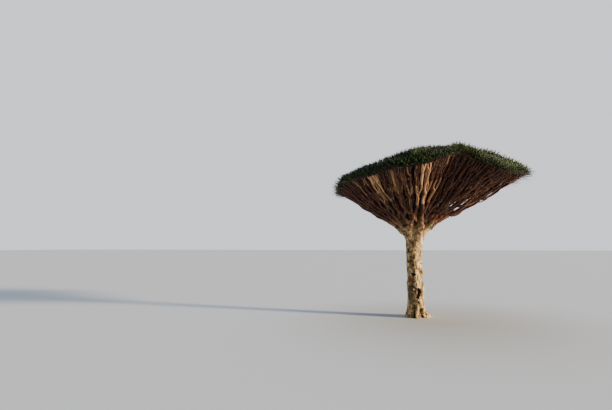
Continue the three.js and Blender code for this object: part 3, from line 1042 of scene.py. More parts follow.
def nearness(points: np.ndarray, line: Sequence[Place], reach: Place, ragged: float = 0.16) -> np.ndarray:
    """Gives how far points lie from a line, as a share of a reach along each axis, with an uneven edge.

    Args:
        points: The points, one row each.
        line: The line's points, or one point alone.
        reach: The reach along each axis.
        ragged: How uneven the edge is.

    Returns:
        The shares: 0 on the line and about 1 at the reach.
    """
    scaled, nodes = points / np.array(reach), np.array(line) / np.array(reach)
    nearest = np.linalg.norm(scaled - nodes[0], axis=1)
    for start, end in zip(nodes, nodes[1:]):
        way = end - start
        along = np.clip((scaled - start) @ way / (way @ way), 0, 1)
        nearest = np.minimum(nearest, np.linalg.norm(scaled - start - along[:, None] * way, axis=1))
    x, y, z = points.T
    waves = np.sin(71 * x + 43 * z) + np.sin(57 * y - 83 * z + 1) + 0.7 * np.sin(131 * x - 97 * y + 149 * z)
    return nearest + ragged * waves / 1.6


@dataclass(frozen=True)
class Dent:
    """A dent in the wood along a line or at a point, or with a negative depth a bulge."""

    line: tuple[Place, ...]
    reach: Place
    depth: float


@dataclass(frozen=True)
class Mark:
    """A line or place where the bark's look changes: how strongly one of its attributes is painted there."""

    kind: str
    line: tuple[Place, ...]
    reach: Place
    strength: float


@dataclass(frozen=True)
class Knot:
    """The place of a shed bough: a raised lip round a hole that has nearly healed."""

    place: Place
    size: float
    open: float
    # The lip, the hole and the painted shade in it are so many times the knot's size.
    lip_reach: Place = (1.9, 1.9, 1.9)
    lip_height: float = 0.36
    hole_reach: Place = (1.3, 1.2, 1.0)
    hole_depth: float = 1.1
    shade_reach: Place = (1.3, 1.4, 1.0)
    least_shade: float = 0.5

    def dents(self) -> tuple[Dent, Dent]:
        """Gives its lip and its hole."""
        lip = Dent((self.place,), self._sized(self.lip_reach), -self.lip_height * self.size)
        depth = self.hole_depth * self.size * self.open
        return lip, Dent((self.place,), self._sized(self.hole_reach), depth)

    def mark(self) -> Mark:
        """Gives the painted shade in its hole, the darker the more open it is."""
        dark = self.least_shade + (1 - self.least_shade) * self.open
        return Mark("painted_shade", (self.place,), self._sized(self.shade_reach), dark)

    def _sized(self, reach: Place) -> Place:
        """Turns a reach in sizes of the knot to metres."""
        return tuple(self.size * times for times in reach)


@dataclass(frozen=True)
class Wood:
    """The trunk and the boughs, as one skin with the bark's relief that is cut in two above the fork."""

    radius: float = 0.256
    top: float = 2.700
    sides: int = 96
    ring_step: float = 0.060
    below_ground: float = 0.120
    flute_depth: float = 0.007
    flutes: int = 6
    flute_pitch: float = 0.7
    flute_fade: float = 0.5
    sway: float = 0.026
    sway_back: float = -0.7
    # How many half waves the trunk sways in, across the view and along it.
    sway_waves: tuple[float, float] = (2.2, 1.6)
    limb_roundness: int = 4
    voxel: float = 0.012
    cut_height: float = 2.860
    smoothing: int = 6
    smoothing_factor: float = 0.5
    relief_share: float = 0.66
    least_dent: float = 0.0003
    # Where a dent ends and where a mark ends, in its reaches, and over how many of them a mark fades.
    dent_end: float = 1.1
    mark_end: float = 1.3
    mark_fade: float = 0.8
    mark_ragged: float = 0.22
    # The relief's layers: how wide the lumps of each are, how broken and how high.
    relief: tuple[tuple[float, int, float], ...] = ((0.22, 2, 0.034), (0.090, 3, 0.032), (0.035, 3, 0.014))
    relief_stretch: float = 2.6
    # How wide the column is at each height, as a share of its radius.
    profile: tuple[tuple[float, float], ...] = (
        *((0, 1.12), (0.2, 1.05), (0.5, 1.03), (0.78, 1.05), (1.06, 1.07), (1.3, 0.95)),
        *((1.84, 1.01), (2.24, 1.03), (2.44, 1.06), (2.57, 1.05), (2.65, 0.72), (2.7, 0.3)),
    )
    ridges: tuple[RootRidge, ...] = (
        RootRidge(-8, 0.235, 0.250, 9),
        RootRidge(-70, 0.120, 0.520, 22),
        RootRidge(-104, 0.085, 0.480, 26),
        RootRidge(-136, 0.075, 0.300, 16),
        RootRidge(178, 0.080, 0.420, 10),
        RootRidge(140, 0.110, 0.300, 12),
        RootRidge(95, 0.100, 0.360, 14),
        RootRidge(45, 0.120, 0.300, 14),
    )
    # The open scar: a crack that arches over to a cavity.
    arch: tuple[Place, ...] = (
        (-0.215, -0.150, 1.050),
        (-0.130, -0.236, 1.030),
        (-0.040, -0.267, 0.998),
        (0.024, -0.269, 0.957),
        (0.085, -0.258, 0.945),
    )
    cavity: tuple[Place, ...] = (
        (0.112, -0.247, 0.925),
        (0.126, -0.243, 0.845),
        (0.098, -0.252, 0.760),
        (0.070, -0.264, 0.680),
    )
    side_root: tuple[Place, ...] = (
        (0.105, -0.258, 0.540),
        (0.155, -0.235, 0.440),
        (0.205, -0.200, 0.350),
        (0.262, -0.150, 0.260),
        (0.330, -0.100, 0.160),
        (0.400, -0.070, 0.060),
    )
    knots: tuple[Knot, ...] = (
        Knot((-0.038, -0.262, 1.433), 0.068, 1.0),
        Knot((0.110, 0.240, 1.930), 0.058, 0.7),
        Knot((-0.258, 0.060, 1.240), 0.075, 0.9),
        Knot((0.210, 0.160, 0.900), 0.050, 0.5),
        Knot((-0.120, 0.235, 0.660), 0.062, 0.8),
        Knot((-0.120, -0.225, 2.020), 0.040, 0.35),
        Knot((0.130, -0.215, 1.180), 0.034, 0.4),
    )
    burl: Place = (0.222, -0.105, 1.500)

    def _dents(self) -> list[Dent]:
        """Lists the shapes of age: knots, the burl, the open scar and its bulges, a side root and hollows.

        Returns:
            The dents and bulges.
        """
        return [
            *(dent for knot in self.knots for dent in knot.dents()),
            Dent((self.burl,), (0.10, 0.11, 0.13), -0.052),
            Dent(((-0.110, -0.230, 0.930), (-0.100, -0.235, 0.700)), (0.16, 0.15, 0.15), -0.034),
            Dent(((0.235, -0.140, 1.020), (0.225, -0.150, 0.680)), (0.070, 0.090, 0.10), -0.036),
            Dent(self.side_root, (0.075, 0.080, 0.090), -0.050),
            Dent(self.arch, (0.050, 0.070, 0.034), 0.024),
            Dent(self.cavity, (0.082, 0.100, 0.080), 0.095),
            Dent(((0.045, -0.280, 0.460), (0.040, -0.320, 0.020)), (0.052, 0.095, 0.090), -0.046),
            Dent(((0.165, -0.250, 0.260), (0.215, -0.270, 0.020)), (0.078, 0.110, 0.090), 0.105),
            Dent(((-0.040, -0.285, 0.360), (-0.050, -0.310, 0.020)), (0.042, 0.085, 0.080), 0.060),
        ]

    def _marks(self) -> list[Mark]:
        """Lists where the bark gets painted shade in its recesses, is stained by resin, or is gone.

        Returns:
            The marks.
        """
        stain = ((-0.190, -0.190, 1.500), (-0.170, -0.210, 1.280), (-0.110, -0.240, 1.160))
        return [
            *(knot.mark() for knot in self.knots),
            # Painted shade along the crack over the scar, in the cavity and in the hollows between the roots
            # at the foot.
            Mark("painted_shade", self.arch, (0.046, 0.070, 0.024), 0.60),
            Mark("painted_shade", self.cavity, (0.080, 0.110, 0.062), 1.0),
            Mark("painted_shade", ((0.165, -0.235, 0.240), (0.205, -0.250, 0.020)), (0.070, 0.110, 0.080), 0.80),
            Mark("painted_shade", ((-0.040, -0.280, 0.330), (-0.050, -0.300, 0.020)), (0.034, 0.080, 0.070), 0.60),
            Mark("rust", (self.burl,), (0.10, 0.13, 0.13), 0.62),
            Mark("rust", stain, (0.10, 0.12, 0.10), 0.42),
            Mark("rust", ((0.060, 0.260, 1.450), (0.030, 0.260, 1.200)), (0.15, 0.13, 0.14), 0.42),
            Mark("bare", ((-0.110, -0.235, 0.940), (-0.100, -0.240, 0.700)), (0.19, 0.17, 0.15), 1.05),
        ]

    def _share(self, heights: np.ndarray) -> np.ndarray:
        """Gives how much wider than its radius the column is at each height."""
        steps = np.array(self.profile)
        shares = np.full(len(heights), steps[0, 1])
        for (h0, s0), (h1, s1) in zip(steps, steps[1:]):
            shares = np.where(heights > h0, s0 + (s1 - s0) * smooth((heights - h0) / (h1 - h0)), shares)
        return shares

    def _column_points(self, azimuths: np.ndarray, heights: np.ndarray) -> np.ndarray:
        """Gives the points of the trunk's surface.

        Args:
            azimuths: Direction of each point.
            heights: Height of each point.

        Returns:
            The points, one row each.
        """
        above = np.maximum(heights, 0)
        radii = self.radius * self._share(above)
        for ridge in self.ridges:
            towards = np.maximum(0, np.cos(azimuths - math.radians(ridge.azimuth)))
            radii += ridge.spread * np.exp(-above / (ridge.height / 2)) * towards**ridge.narrow
        fade = smooth((self.top - above) / self.flute_fade)
        radii += self.flute_depth * np.cos(self.flutes * azimuths + above / self.flute_pitch) * fade
        rise = above / self.top
        middle_x = self.sway * np.sin(rise * math.pi * self.sway_waves[0]) * rise
        middle_y = self.sway_back * self.sway * np.sin(rise * math.pi * self.sway_waves[1])
        return np.stack(
            [middle_x + radii * np.cos(azimuths), middle_y + radii * np.sin(azimuths), heights], axis=1
        )

    def _column(self) -> bpy.types.Object:
        """Raises the trunk's column ring by ring from a disc below the ground.

        Returns:
            The column.
        """
        foot = (0, 0, -self.below_ground)
        bpy.ops.mesh.primitive_circle_add(vertices=self.sides, radius=1, fill_type="NGON", location=foot)
        column = bpy.context.active_object
        bpy.ops.object.transform_apply(location=True)
        bpy.ops.object.mode_set(mode="EDIT")
        for _ in range(round((self.top + self.below_ground) / self.ring_step)):
            bpy.ops.mesh.extrude_region_move(TRANSFORM_OT_translate={"value": (0, 0, self.ring_step)})
        bpy.ops.object.mode_set(mode="OBJECT")
        points = positions_of(column)
        shaped = self._column_points(np.arctan2(points[:, 1], points[:, 0]), points[:, 2])
        column.data.vertices.foreach_set("co", shaped.astype(np.float32).ravel())
        return column

    def _tube(self, limb: Limb) -> bpy.types.Object:
        """Makes a limb's bare wood, as a curve with a round section that is turned into a mesh.

        Args:
            limb: The limb.

        Returns:
            Its wood.
        """
        curve = bpy.data.curves.new("limb", "CURVE")
        curve.dimensions = "3D"
        curve.bevel_depth = 1.0
        curve.bevel_resolution = self.limb_roundness
        curve.use_fill_caps = True
        spline = curve.splines.new("POLY")
        spline.points.add(len(limb.line) - 1)
        for point, place, radius in zip(spline.points, limb.line, limb.radii):
            point.co = (*place, 1)
            point.radius = radius
        select_only([make_object("limb", curve)])
        bpy.ops.object.convert(target="MESH")
        return bpy.context.active_object

    @staticmethod
    def _apply(item: bpy.types.Object, kind: str, **settings: object) -> None:
        """Adds a modifier with settings and applies it."""
        select_only([item])
        modifier = item.modifiers.new(kind.lower(), kind)
        for name, value in settings.items():
            setattr(modifier, name, value)
        bpy.ops.object.modifier_apply(modifier=modifier.name)

    def _press(self, item: bpy.types.Object, dents: Sequence[Dent]) -> None:
        """Presses dents into the wood along its own normals, after all bulges have been raised.

        Args:
            item: The wood.
            dents: The dents and bulges.
        """
        for sign in (-1, 1):
            points = positions_of(item)
            depths = np.zeros(len(points))
            for dent in dents:
                if dent.depth * sign > 0:
                    away = nearness(points, dent.line, dent.reach)
                    depths = np.maximum(depths, smooth(self.dent_end - away) * abs(dent.depth))
            deepest = float(depths.max())
            group = item.vertex_groups.new(name="dent")
            for index in np.flatnonzero(depths > self.least_dent):
                group.add([int(index)], float(depths[index]) / deepest, "REPLACE")
            self._apply(item, "DISPLACE", strength=-sign * deepest, mid_level=0, vertex_group="dent")
            item.vertex_groups.clear()

    def _paint(self, item: bpy.types.Object) -> None:
        """Stores how much painted shade, rust or bare wood there is at each of the wood's points."""
        points = positions_of(item)
        for kind in PAINTS:
            values = np.zeros(len(points))
            for mark in self._marks():
                if mark.kind == kind:
                    away = nearness(points, mark.line, mark.reach, self.mark_ragged)
                    shown = smooth((self.mark_end - away) / self.mark_fade)
                    values = np.maximum(values, shown * mark.strength)
            set_attribute(item.data, kind, values)

    def _roughen(self, item: bpy.types.Object) -> None:
        """Raises the bark's relief: broad lumps, smaller ones, then grain, all stretched along the trunk.

        Args:
            item: The wood.
        """
        stretched = make_object("grain_direction", None)
        stretched.scale = (1, 1, self.relief_stretch)
        bpy.context.view_layer.update()
        for width, broken, strength in self.relief:
            texture = bpy.data.textures.new("relief", "CLOUDS")
            texture.noise_scale = width
            texture.noise_depth = broken
            self._apply(
                item,
                "DISPLACE",
                texture=texture,
                strength=strength,
                mid_level=0.5,
                texture_coords="OBJECT",
                texture_coords_object=stretched,
            )
        bpy.data.objects.remove(stretched)

    def _half(self, item: bpy.types.Object, name: str, height: float, keep_upper: bool) -> bpy.types.Object:
        """Keeps the part of a piece above or below a level cut, and closes the cut.

        Args:
            item: The piece, which is changed.
            name: Its new name.
            height: Where it is cut.
            keep_upper: Whether the part above stays.

        Returns:
            The piece.
        """
        item.name = name
        item.data.name = name
        select_only([item])
        bpy.ops.object.mode_set(mode="EDIT")
        bpy.ops.mesh.select_all(action="SELECT")
        bpy.ops.mesh.bisect(
            plane_co=(0, 0, height),
            plane_no=(0, 0, 1),
            use_fill=True,
            clear_inner=keep_upper,
            clear_outer=not keep_upper,
        )
        bpy.ops.object.mode_set(mode="OBJECT")
        return item

    def build(
        self, limbs: Sequence[Limb], bark: bpy.types.Material
    ) -> tuple[bpy.types.Object, bpy.types.Object]:
        """Builds the trunk and the boughs.

        Args:
            limbs: All limbs down to the first twigs.
            bark: Their material.

        Returns:
            The trunk and the boughs.
        """
        bpy.ops.object.select_all(action="DESELECT")
        column = self._column()
        tubes = [self._tube(limb) for limb in limbs]
        select_only([column, *tubes])
        bpy.ops.object.join()
        column.data.remesh_voxel_size = self.voxel
        bpy.ops.object.voxel_remesh()
        self._apply(column, "SMOOTH", factor=self.smoothing_factor, iterations=self.smoothing)
        self._press(column, self._dents())
        self._roughen(column)
        self._apply(column, "DECIMATE", ratio=self.relief_share)
        self._paint(column)
        column.data.materials.clear()
        column.data.materials.append(bark)
        select_only([column])
        bpy.ops.object.shade_smooth()
        boughs = make_object("boughs_bark", column.data.copy())
        boughs = self._half(boughs, "boughs_bark", self.cut_height, keep_upper=True)
        trunk = self._half(column, "trunk_bark", self.cut_height, keep_upper=False)
        trunk = self._half(trunk, "trunk_bark", 0, keep_upper=True)
        return trunk, boughs


@dataclass(frozen=True)
class TwigShape:
    """How finely twigs of some orders are made."""

    sides: int
    rings: int


@dataclass(frozen=True)
class TwigWork:
    """Makes twigs as one mesh: bowed round sticks, swollen at their forks and closed by a dome."""

    coarse: TwigShape = TwigShape(9, 7)
    fine: TwigShape = TwigShape(6, 4)
    last_coarse_part: float = 0.66
    swelling: float = 0.14
    swollen_length: float = 0.16
    knobbliness: float = 0.10
    crook: float = 0.105
    steep: float = 0.8
    # The rings of the dome that closes a twig: how far ahead each lies and how wide it is, in radii.
    dome: tuple[tuple[float, float], ...] = ((0.45, 0.85), (0.8, 0.5))
    dome_peak: float = 0.95
    # The front where sunlight is painted on the twigs, in degrees, and between which parts of the way out the
    # twigs with painted sunlight begin.
    painted_sun_azimuth: float = -100.0
    painted_sun_width: float = 36.0
    painted_sun_from: float = 0.40
    painted_sun_to: float = 0.64
    painted_sun_orders: int = 4
    spray_chance: float = 0.32
    twig_chance: float = 0.18
    away_painted_sun: float = 0.45
    front_painted_sun: float = 0.85
    least_draw: float = 0.555
    painted_sun_slope: float = 5.0
    most_painted_sun: float = 0.85
    # How much painted sunlight a twig has, at the least, for each of its tones.
    painted_sun_levels: tuple[float, ...] = (0.13, 0.38, 0.65)

    def _shape(self, twig: Twig) -> TwigShape:
        """Tells how finely a twig is made: the thick ones further in have more sides."""
        return self.coarse if twig.parts[1] <= self.last_coarse_part else self.fine

    def _painted_sun(self, key: int, order: int, part: float, place: Vector) -> float:
        """Gives how much painted sunlight, as plain tan, the skin has at a twig's end: in some sprays, and
        more at the front.

        Args:
            key: The twig's key.
            order: The twig's order.
            part: How far out from the hub the place is. The wood further in is dark.
            place: Where the twig lies.

        Returns:
            The share, from 0 to the most.
        """
        outer = min(1.0, max(0.0, (part - self.painted_sun_from) / (self.painted_sun_to - self.painted_sun_from)))
        struck = facing(math.atan2(place.y, place.x), self.painted_sun_azimuth, self.painted_sun_width)
        spray = key >> max(0, order - self.painted_sun_orders)
        draw = 0.5 + self.spray_chance * chance(spray, Draw.DRY_SPRAY)
        draw += self.twig_chance * chance(key, Draw.DRY_TWIG)
        beyond = draw * (self.away_painted_sun + self.front_painted_sun * struck) - self.least_draw
        return min(self.most_painted_sun, max(0.0, beyond) * self.painted_sun_slope) * outer

    def _tone(self, twig: Twig) -> int:
        """Deals a twig its bark: 0 for the dark one, or the number of a tone of painted sunlight."""
        under = self._painted_sun(twig.key >> 1, twig.order - 1, twig.parts[0], twig.end)
        own = self._painted_sun(twig.key, twig.order, twig.parts[1], twig.end)
        return sum((under + own) / 2 >= level for level in self.painted_sun_levels)

    @staticmethod
    def _draws(twigs: Sequence[Twig], use: int, count: int) -> np.ndarray:
        """Draws some numbers for each twig, one row each."""
        return np.array([[chance(twig.key, use + i) for i in range(count)] for twig in twigs])

    @staticmethod
    def _faces(bands: int, sides: int) -> tuple[np.ndarray, np.ndarray]:
        """Gives the faces of one twig, whose foot and peak come after its rings.

        Args:
            bands: How many rings it has.
            sides: How many points a ring has.

        Returns:
            The faces between rings and the ones that close its ends.
        """
        k = np.arange(sides)
        after = (k + 1) % sides
        low = (np.arange(bands - 1) * sides)[:, None]
        quads = np.stack([low + k, low + after, low + sides + after, low + sides + k], axis=2).reshape(-1, 4)
        upper = (bands - 1) * sides
        foot, peak = (np.full(sides, bands * sides + i) for i in (0, 1))
        closing = [np.stack([foot, after, k], axis=1), np.stack([upper + k, upper + after, peak], axis=1)]
        return quads, np.concatenate(closing)

    def _tubes(
        self, twigs: Sequence[Twig], shape: TwigShape
    ) -> tuple[np.ndarray, np.ndarray, list[np.ndarray], list[np.ndarray]]:
        """Makes the arrays of some twigs.

        Args:
            twigs: The twigs.
            shape: How finely they are made.

        Returns:
            The vertices, each one's way along its twig in metres, the faces, and the tone of each face.
        """
        count, rings, sides = len(twigs), shape.rings, shape.sides
        starts, leaving, ends, arriving = (
            np.array([getattr(twig, name) for twig in twigs])[:, None]
            for name in ("start", "leaving", "end", "arriving")
        )
        chords = ends - starts
        lengths = np.linalg.norm(chords, axis=2)
        t = np.linspace(0, 1, rings)[None, :, None]
        crooks = self._draws(twigs, Draw.CROOK, 3)[:, None] * self.crook * lengths[..., None]
        lines = bowed_line(starts, leaving, ends, arriving, t) + crooks * np.sin(math.pi * t)
        ways = unit(np.gradient(lines, axis=1))
        first, last = (np.array([twig.radii[i] for twig in twigs])[:, None] for i in (0, 1))
        way = t[:, :, 0]
        ends_near = np.exp(-way / self.swollen_length) + np.exp((way - 1) / self.swollen_length)
        knobs = 1 + self.knobbliness * self._draws(twigs, Draw.KNOB, rings)
        radii = (first + (last - first) * way) * (1 + self.swelling * ends_near) * knobs
        alongs = way * lengths
        tip, heading, tip_radius = lines[:, -1:], ways[:, -1:], radii[:, -1:]
        domes = len(self.dome)
        ahead = heading * tip_radius[..., None]
        lines = np.concatenate([lines, *(tip + ahead * forward for forward, _ in self.dome)], axis=1)
        radii = np.concatenate([radii, *(tip_radius * width for _, width in self.dome)], axis=1)
        alongs = np.concatenate([alongs, *[alongs[:, -1:]] * domes], axis=1)
        ways = np.concatenate([ways, *[heading] * domes], axis=1)
        leaning = np.abs(chords[..., 2:]) > self.steep * lengths[..., None]
        aside = np.cross(chords, np.where(leaning, [1.0, 0, 0], [0, 0, 1.0]))
        across = unit(aside - ways * (aside * ways).sum(axis=2, keepdims=True))
        other = np.cross(ways, across)
        angles = (np.arange(sides) * math.tau / sides)[None, None, :, None]
        out = across[:, :, None] * np.cos(angles) + other[:, :, None] * np.sin(angles)
        skin = lines[:, :, None] + out * radii[:, :, None, None]
        peak = tip + ahead * self.dome_peak
        vertices = np.concatenate([skin.reshape(count, -1, 3), lines[:, :1], peak], axis=1)
        along = np.concatenate([np.repeat(alongs, sides, axis=1), alongs[:, :1], alongs[:, -1:]], axis=1)
        offsets = (np.arange(count) * vertices.shape[1])[:, None, None]
        tones = np.array([self._tone(twig) for twig in twigs])
        parts = self._faces(skin.shape[1], sides)
        faces = [(part[None] + offsets).reshape(-1, part.shape[1]) for part in parts]
        return vertices.reshape(-1, 3), along.ravel(), faces, [np.repeat(tones, len(part)) for part in parts]

    def build(
        self, name: str, twigs: Sequence[Twig], barks: Sequence[bpy.types.Material]
    ) -> bpy.types.Object:
        """Builds one piece of twigs.

        Args:
            name: The piece's name.
            twigs: The twigs in it.
            barks: The dark bark and the tans of painted sunlight.

        Returns:
            The piece.
        """
        vertices, alongs, faces, tones = [], [], [], []
        total = 0
        for shape in (self.coarse, self.fine):
            group = [twig for twig in twigs if self._shape(twig) is shape]
            points, along, parts, part_tones = self._tubes(group, shape)
            vertices.append(points)
            alongs.append(along)
            faces += [part + total for part in parts]
            tones += part_tones
            total += len(points)
        mesh = mesh_from_arrays(name, np.concatenate(vertices), faces)
        set_attribute(mesh, "along", np.concatenate(alongs))
        for bark in barks:
            mesh.materials.append(bark)
        mesh.polygons.foreach_set("material_index", np.concatenate(tones).astype(np.int32))
        mesh.shade_smooth()
        return make_object(name, mesh)


class Tint(Enum):
    """The plain colours that are dealt out among the rosettes, in the order of a leaf piece's materials."""

    DEEP = 0
    MIDDLE = 1
    BRIGHT = 2
    YOUNG = 3
    DRY = 4
    FOOT = 5


@dataclass(frozen=True)
class LeafWork:
    """Makes rosettes as one mesh: each leaf is a closed channelled blade of sixteen triangles."""

    blades: int = 20
    length: float = 0.385
    inner_shorter: float = 0.34
    width: float = 0.032
    keel: float = 0.006
    edge_rise: float = 0.5
    lowest_sine: float = 0.08
    highest_sine: float = 0.985
    neck: float = 0.050
    droop: float = 0.07
    twist: float = 0.35
    turn_wander: float = 0.12
    rise_wander: float = 0.10
    unevenness: float = 0.09
    dry_share: float = 0.12
    rim_share: float = 0.87
    # How much the draw rises at the rim, for brighter greens there as painted light.
    rim_painted_light: float = 0.42
    # Up to which draw a rosette gets each green, from the deepest. Past the last it is young.
    greens: tuple[tuple[float, Tint], ...] = ((0.62, Tint.DEEP), (0.96, Tint.MIDDLE), (1.28, Tint.BRIGHT))
    # Along a blade: where each section lies, its width and its keel, as shares.
    sections: tuple[tuple[float, float, float], ...] = ((0, 0.8, 1.0), (0.32, 1.0, 0.75), (0.72, 0.72, 0.5))

    def _tint(self, rosette: Rosette) -> Tint:
        """Deals a rosette its green: a brighter one more often at the rim, as painted light where the light
        reaches it.
        """
        draw = 0.5 + 0.5 * chance(rosette.key, Draw.GREEN)
        draw += self.rim_painted_light if rosette.share > self.rim_share else 0
        return next((green for most, green in self.greens if draw < most), Tint.YOUNG)

    def _faces(self) -> tuple[list[tuple[int, ...]], list[tuple[int, ...]]]:
        """Gives the faces of one blade, whose sections have a left, a right and a keel point.

        Returns:
            The faces between sections, and the ones that close its foot and its tip.
        """
        last = 3 * (len(self.sections) - 1)
        quads = [
            (low + b, low + b + 3, low + a + 3, low + a)
            for low in range(0, last, 3)
            for a, b in ((0, 1), (2, 0), (1, 2))
        ]
        tip = last + 3
        return quads, [(0, 2, 1), *((last + b, tip, last + a) for a, b in ((0, 1), (2, 0), (1, 2)))]

    def _blades(self, rosettes: Sequence[Rosette]) -> tuple[np.ndarray, list[np.ndarray], np.ndarray]:
        """Makes the arrays of all leaves of some rosettes.

        Args:
            rosettes: The rosettes.

        Returns:
            The vertices, the faces, and the tint of each face.
        """
        hearts = np.array([rosette.heart for rosette in rosettes])[:, None]
        axes = np.array([rosette.axis for rosette in rosettes])[:, None]
        sides = unit(np.cross(axes, [1.0, 0, 0]))
        aheads = np.cross(axes, sides)
        number = np.arange(self.blades)
        inwards = ((number + 0.5) / self.blades)[None, :]
        keys = [rosette.key for rosette in rosettes]
        turn_draws, rise_draws, twist_draws, length_draws = (
            np.array([[chance(key * BLADE_KEYS + i, use) for i in number] for key in keys])
            for use in (Draw.LEAF_TURN, Draw.LEAF_RISE, Draw.LEAF_TWIST, Draw.LEAF_LENGTH)
        )
        turns = np.array([math.pi * chance(key, Draw.TURN) for key in keys])[:, None]
        angles = (turns + number * GOLDEN_ANGLE + self.turn_wander * turn_draws)[..., None]
        sines = self.lowest_sine + (self.highest_sine - self.lowest_sine) * inwards
        rises = (np.arcsin(sines) + self.rise_wander * rise_draws)[..., None]
        radial = sides * np.cos(angles) + aheads * np.sin(angles)
        ways = radial * np.cos(rises) + axes * np.sin(rises)
        flat = aheads * np.cos(angles) - sides * np.sin(angles)
        upper = axes * np.cos(rises) - radial * np.sin(rises)
        twists = (self.twist * twist_draws)[..., None]
        across = flat * np.cos(twists) + upper * np.sin(twists)
        above = upper * np.cos(twists) - flat * np.sin(twists)
        lengths = self.length * (1 - self.inner_shorter * inwards**2) * (1 + self.unevenness * length_draws)
        lengths = lengths[..., None]
        feet = hearts - axes * (self.neck * (1 - inwards))[..., None]
        bends = (self.droop * (1.1 - inwards))[..., None]

        def spine(share: float) -> np.ndarray:
            """Gives the point of every blade's spine at a share of its length."""
            return feet + lengths * (ways * share - above * bends * share**2)

        corners = []
        for share, width, keel in self.sections:
            middle = spine(share)
            half = across * (self.width * width / 2)
            lift = above * (self.keel * keel)
            raised = middle + lift * self.edge_rise
            corners += [raised + half, raised - half, middle - lift]
        vertices = np.stack([*corners, spine(1.0)], axis=2)
        quads, closing = self._faces()
        offsets = (np.arange(len(rosettes) * self.blades) * vertices.shape[2])[:, None, None]
        faces = [(np.array(part)[None] + offsets).reshape(-1, len(part[0])) for part in (quads, closing)]
        greens = np.array([self._tint(rosette).value for rosette in rosettes])[:, None]
        dried = np.array([self.dry_share * (1 + chance(key, Draw.DRY_LEAVES)) for key in keys])[:, None]
        tints = np.where(inwards < dried, Tint.DRY.value, greens).reshape(-1, 1)
        footed = np.where(tints == Tint.DRY.value, tints, Tint.FOOT.value)
        face_tints = [
            np.hstack([np.repeat(footed, low, axis=1), np.repeat(tints, len(part) - low, axis=1)]).ravel()
            for part, low in ((quads, 3), (closing, 1))
        ]
        return vertices.reshape(-1, 3), faces, np.concatenate(face_tints)

    def build(
        self, name: str, rosettes: Sequence[Rosette], finishes: Sequence[bpy.types.Material]
    ) -> bpy.types.Object:
        """Builds one piece of leaves.

        Args:
            name: The piece's name.
            rosettes: The rosettes in it.
            finishes: A material for each tint.

        Returns:
            The piece.
        """
        vertices, faces, tints = self._blades(rosettes)
        mesh = mesh_from_arrays(name, vertices, faces)
        for finish in finishes:
            mesh.materials.append(finish)
        mesh.polygons.foreach_set("material_index", tints.astype(np.int32))
        return make_object(name, mesh)


@dataclass(frozen=True)
class Foliage:
    """The leaves and twigs of the whole crown, with a piece of each kind for the centre and each wedge."""

    leaf_finishes: tuple[Blade, ...] = (
        Blade("leaf_deep_green", "#13220D"),
        Blade("leaf_green", "#182E10"),
        Blade("leaf_bright_green", "#2C4B19"),
        Blade("leaf_young_green", "#50702A"),
        Blade("leaf_dry", "#4A2E1E", roughness=0.7),
        Blade("leaf_foot", "#25331A"),
    )
    # The dark bark, and the tans of painted sunlight from the darkest to the palest.
    twig_finishes: tuple[TwigBark, ...] = (
        TwigBark(),
        TwigBark("painted_sun_twig_bark_brown", tan="#8B6748"),
        TwigBark("painted_sun_twig_bark_tan", tan="#B08760"),
        TwigBark("painted_sun_twig_bark_pale", tan="#CFA274"),
    )

    def build(self, groups: dict[str, tuple[list[Mass], list[Twig], list[Rosette]]]) -> None:
        """Builds the foliage.

        Args:
            groups: For each group's name its masses, its twigs and its rosettes.
        """
        barks = [finish.material() for finish in self.twig_finishes]
        greens = [finish.material() for finish in self.leaf_finishes]
        for group, (masses, twigs, rosettes) in groups.items():
            nodes = [mass.node for mass in masses]
            sticks = TwigWork().build(f"twigs_{group}", twigs, barks)
            leaves = LeafWork().build(f"leaves_{group}", rosettes, greens)
            stand_for(sticks, nodes)
            stand_for(leaves, nodes)


@dataclass(frozen=True)
class Tree:
    """The whole tree: trunk, boughs and crown."""

    plan: CrownPlan = CrownPlan()
    branching: Branching = Branching()
    # Twigs that end up to this part of the way out belong to the wood with its relief.
    relief_part: float = 0.40
    relief_points: int = 8

    def build(self) -> None:
        """Builds every piece and lets it stand for its nodes."""
        layout = {"centre": self.plan.centre()}
        for k in range(self.plan.wedges):
            layout[str(k + 1)] = self.plan.wedge(k)
        wood_limbs: list[Limb] = []
        groups: dict[str, tuple[list[Mass], list[Twig], list[Rosette]]] = {}
        for group, (limbs, masses) in layout.items():
            twigs: list[Twig] = []
            rosettes: list[Rosette] = []
            for mass in masses:
                grown, tufts = self.branching.grow(mass)
                twigs += grown
                rosettes += tufts
            wood_limbs += limbs
            wood_limbs += [self._as_limb(twig) for twig in twigs if twig.parts[1] <= self.relief_part]
            finer = [twig for twig in twigs if twig.parts[1] > self.relief_part]
            groups[group] = (masses, finer, rosettes)
        trunk, boughs = Wood().build(wood_limbs, AgedBark().material())
        bough_nodes = ["bough_centre"]
        for k in range(1, self.plan.wedges + 1):
            bough_nodes += [f"bough_{k}", f"bough_{k}_inner", f"bough_{k}_outer"]
        stand_for(trunk, ["trunk"])
        stand_for(boughs, bough_nodes)
        Foliage().build(groups)

    def _as_limb(self, twig: Twig) -> Limb:
        """Draws a twig as a limb of the wood."""
        t = np.linspace(0, 1, self.relief_points)[:, None]
        ends = (np.array(way) for way in (twig.start, twig.leaving, twig.end, twig.arriving))
        return Limb(bowed_line(*ends, t), twig.radii[0] + (twig.radii[1] - twig.radii[0]) * t[:, 0])


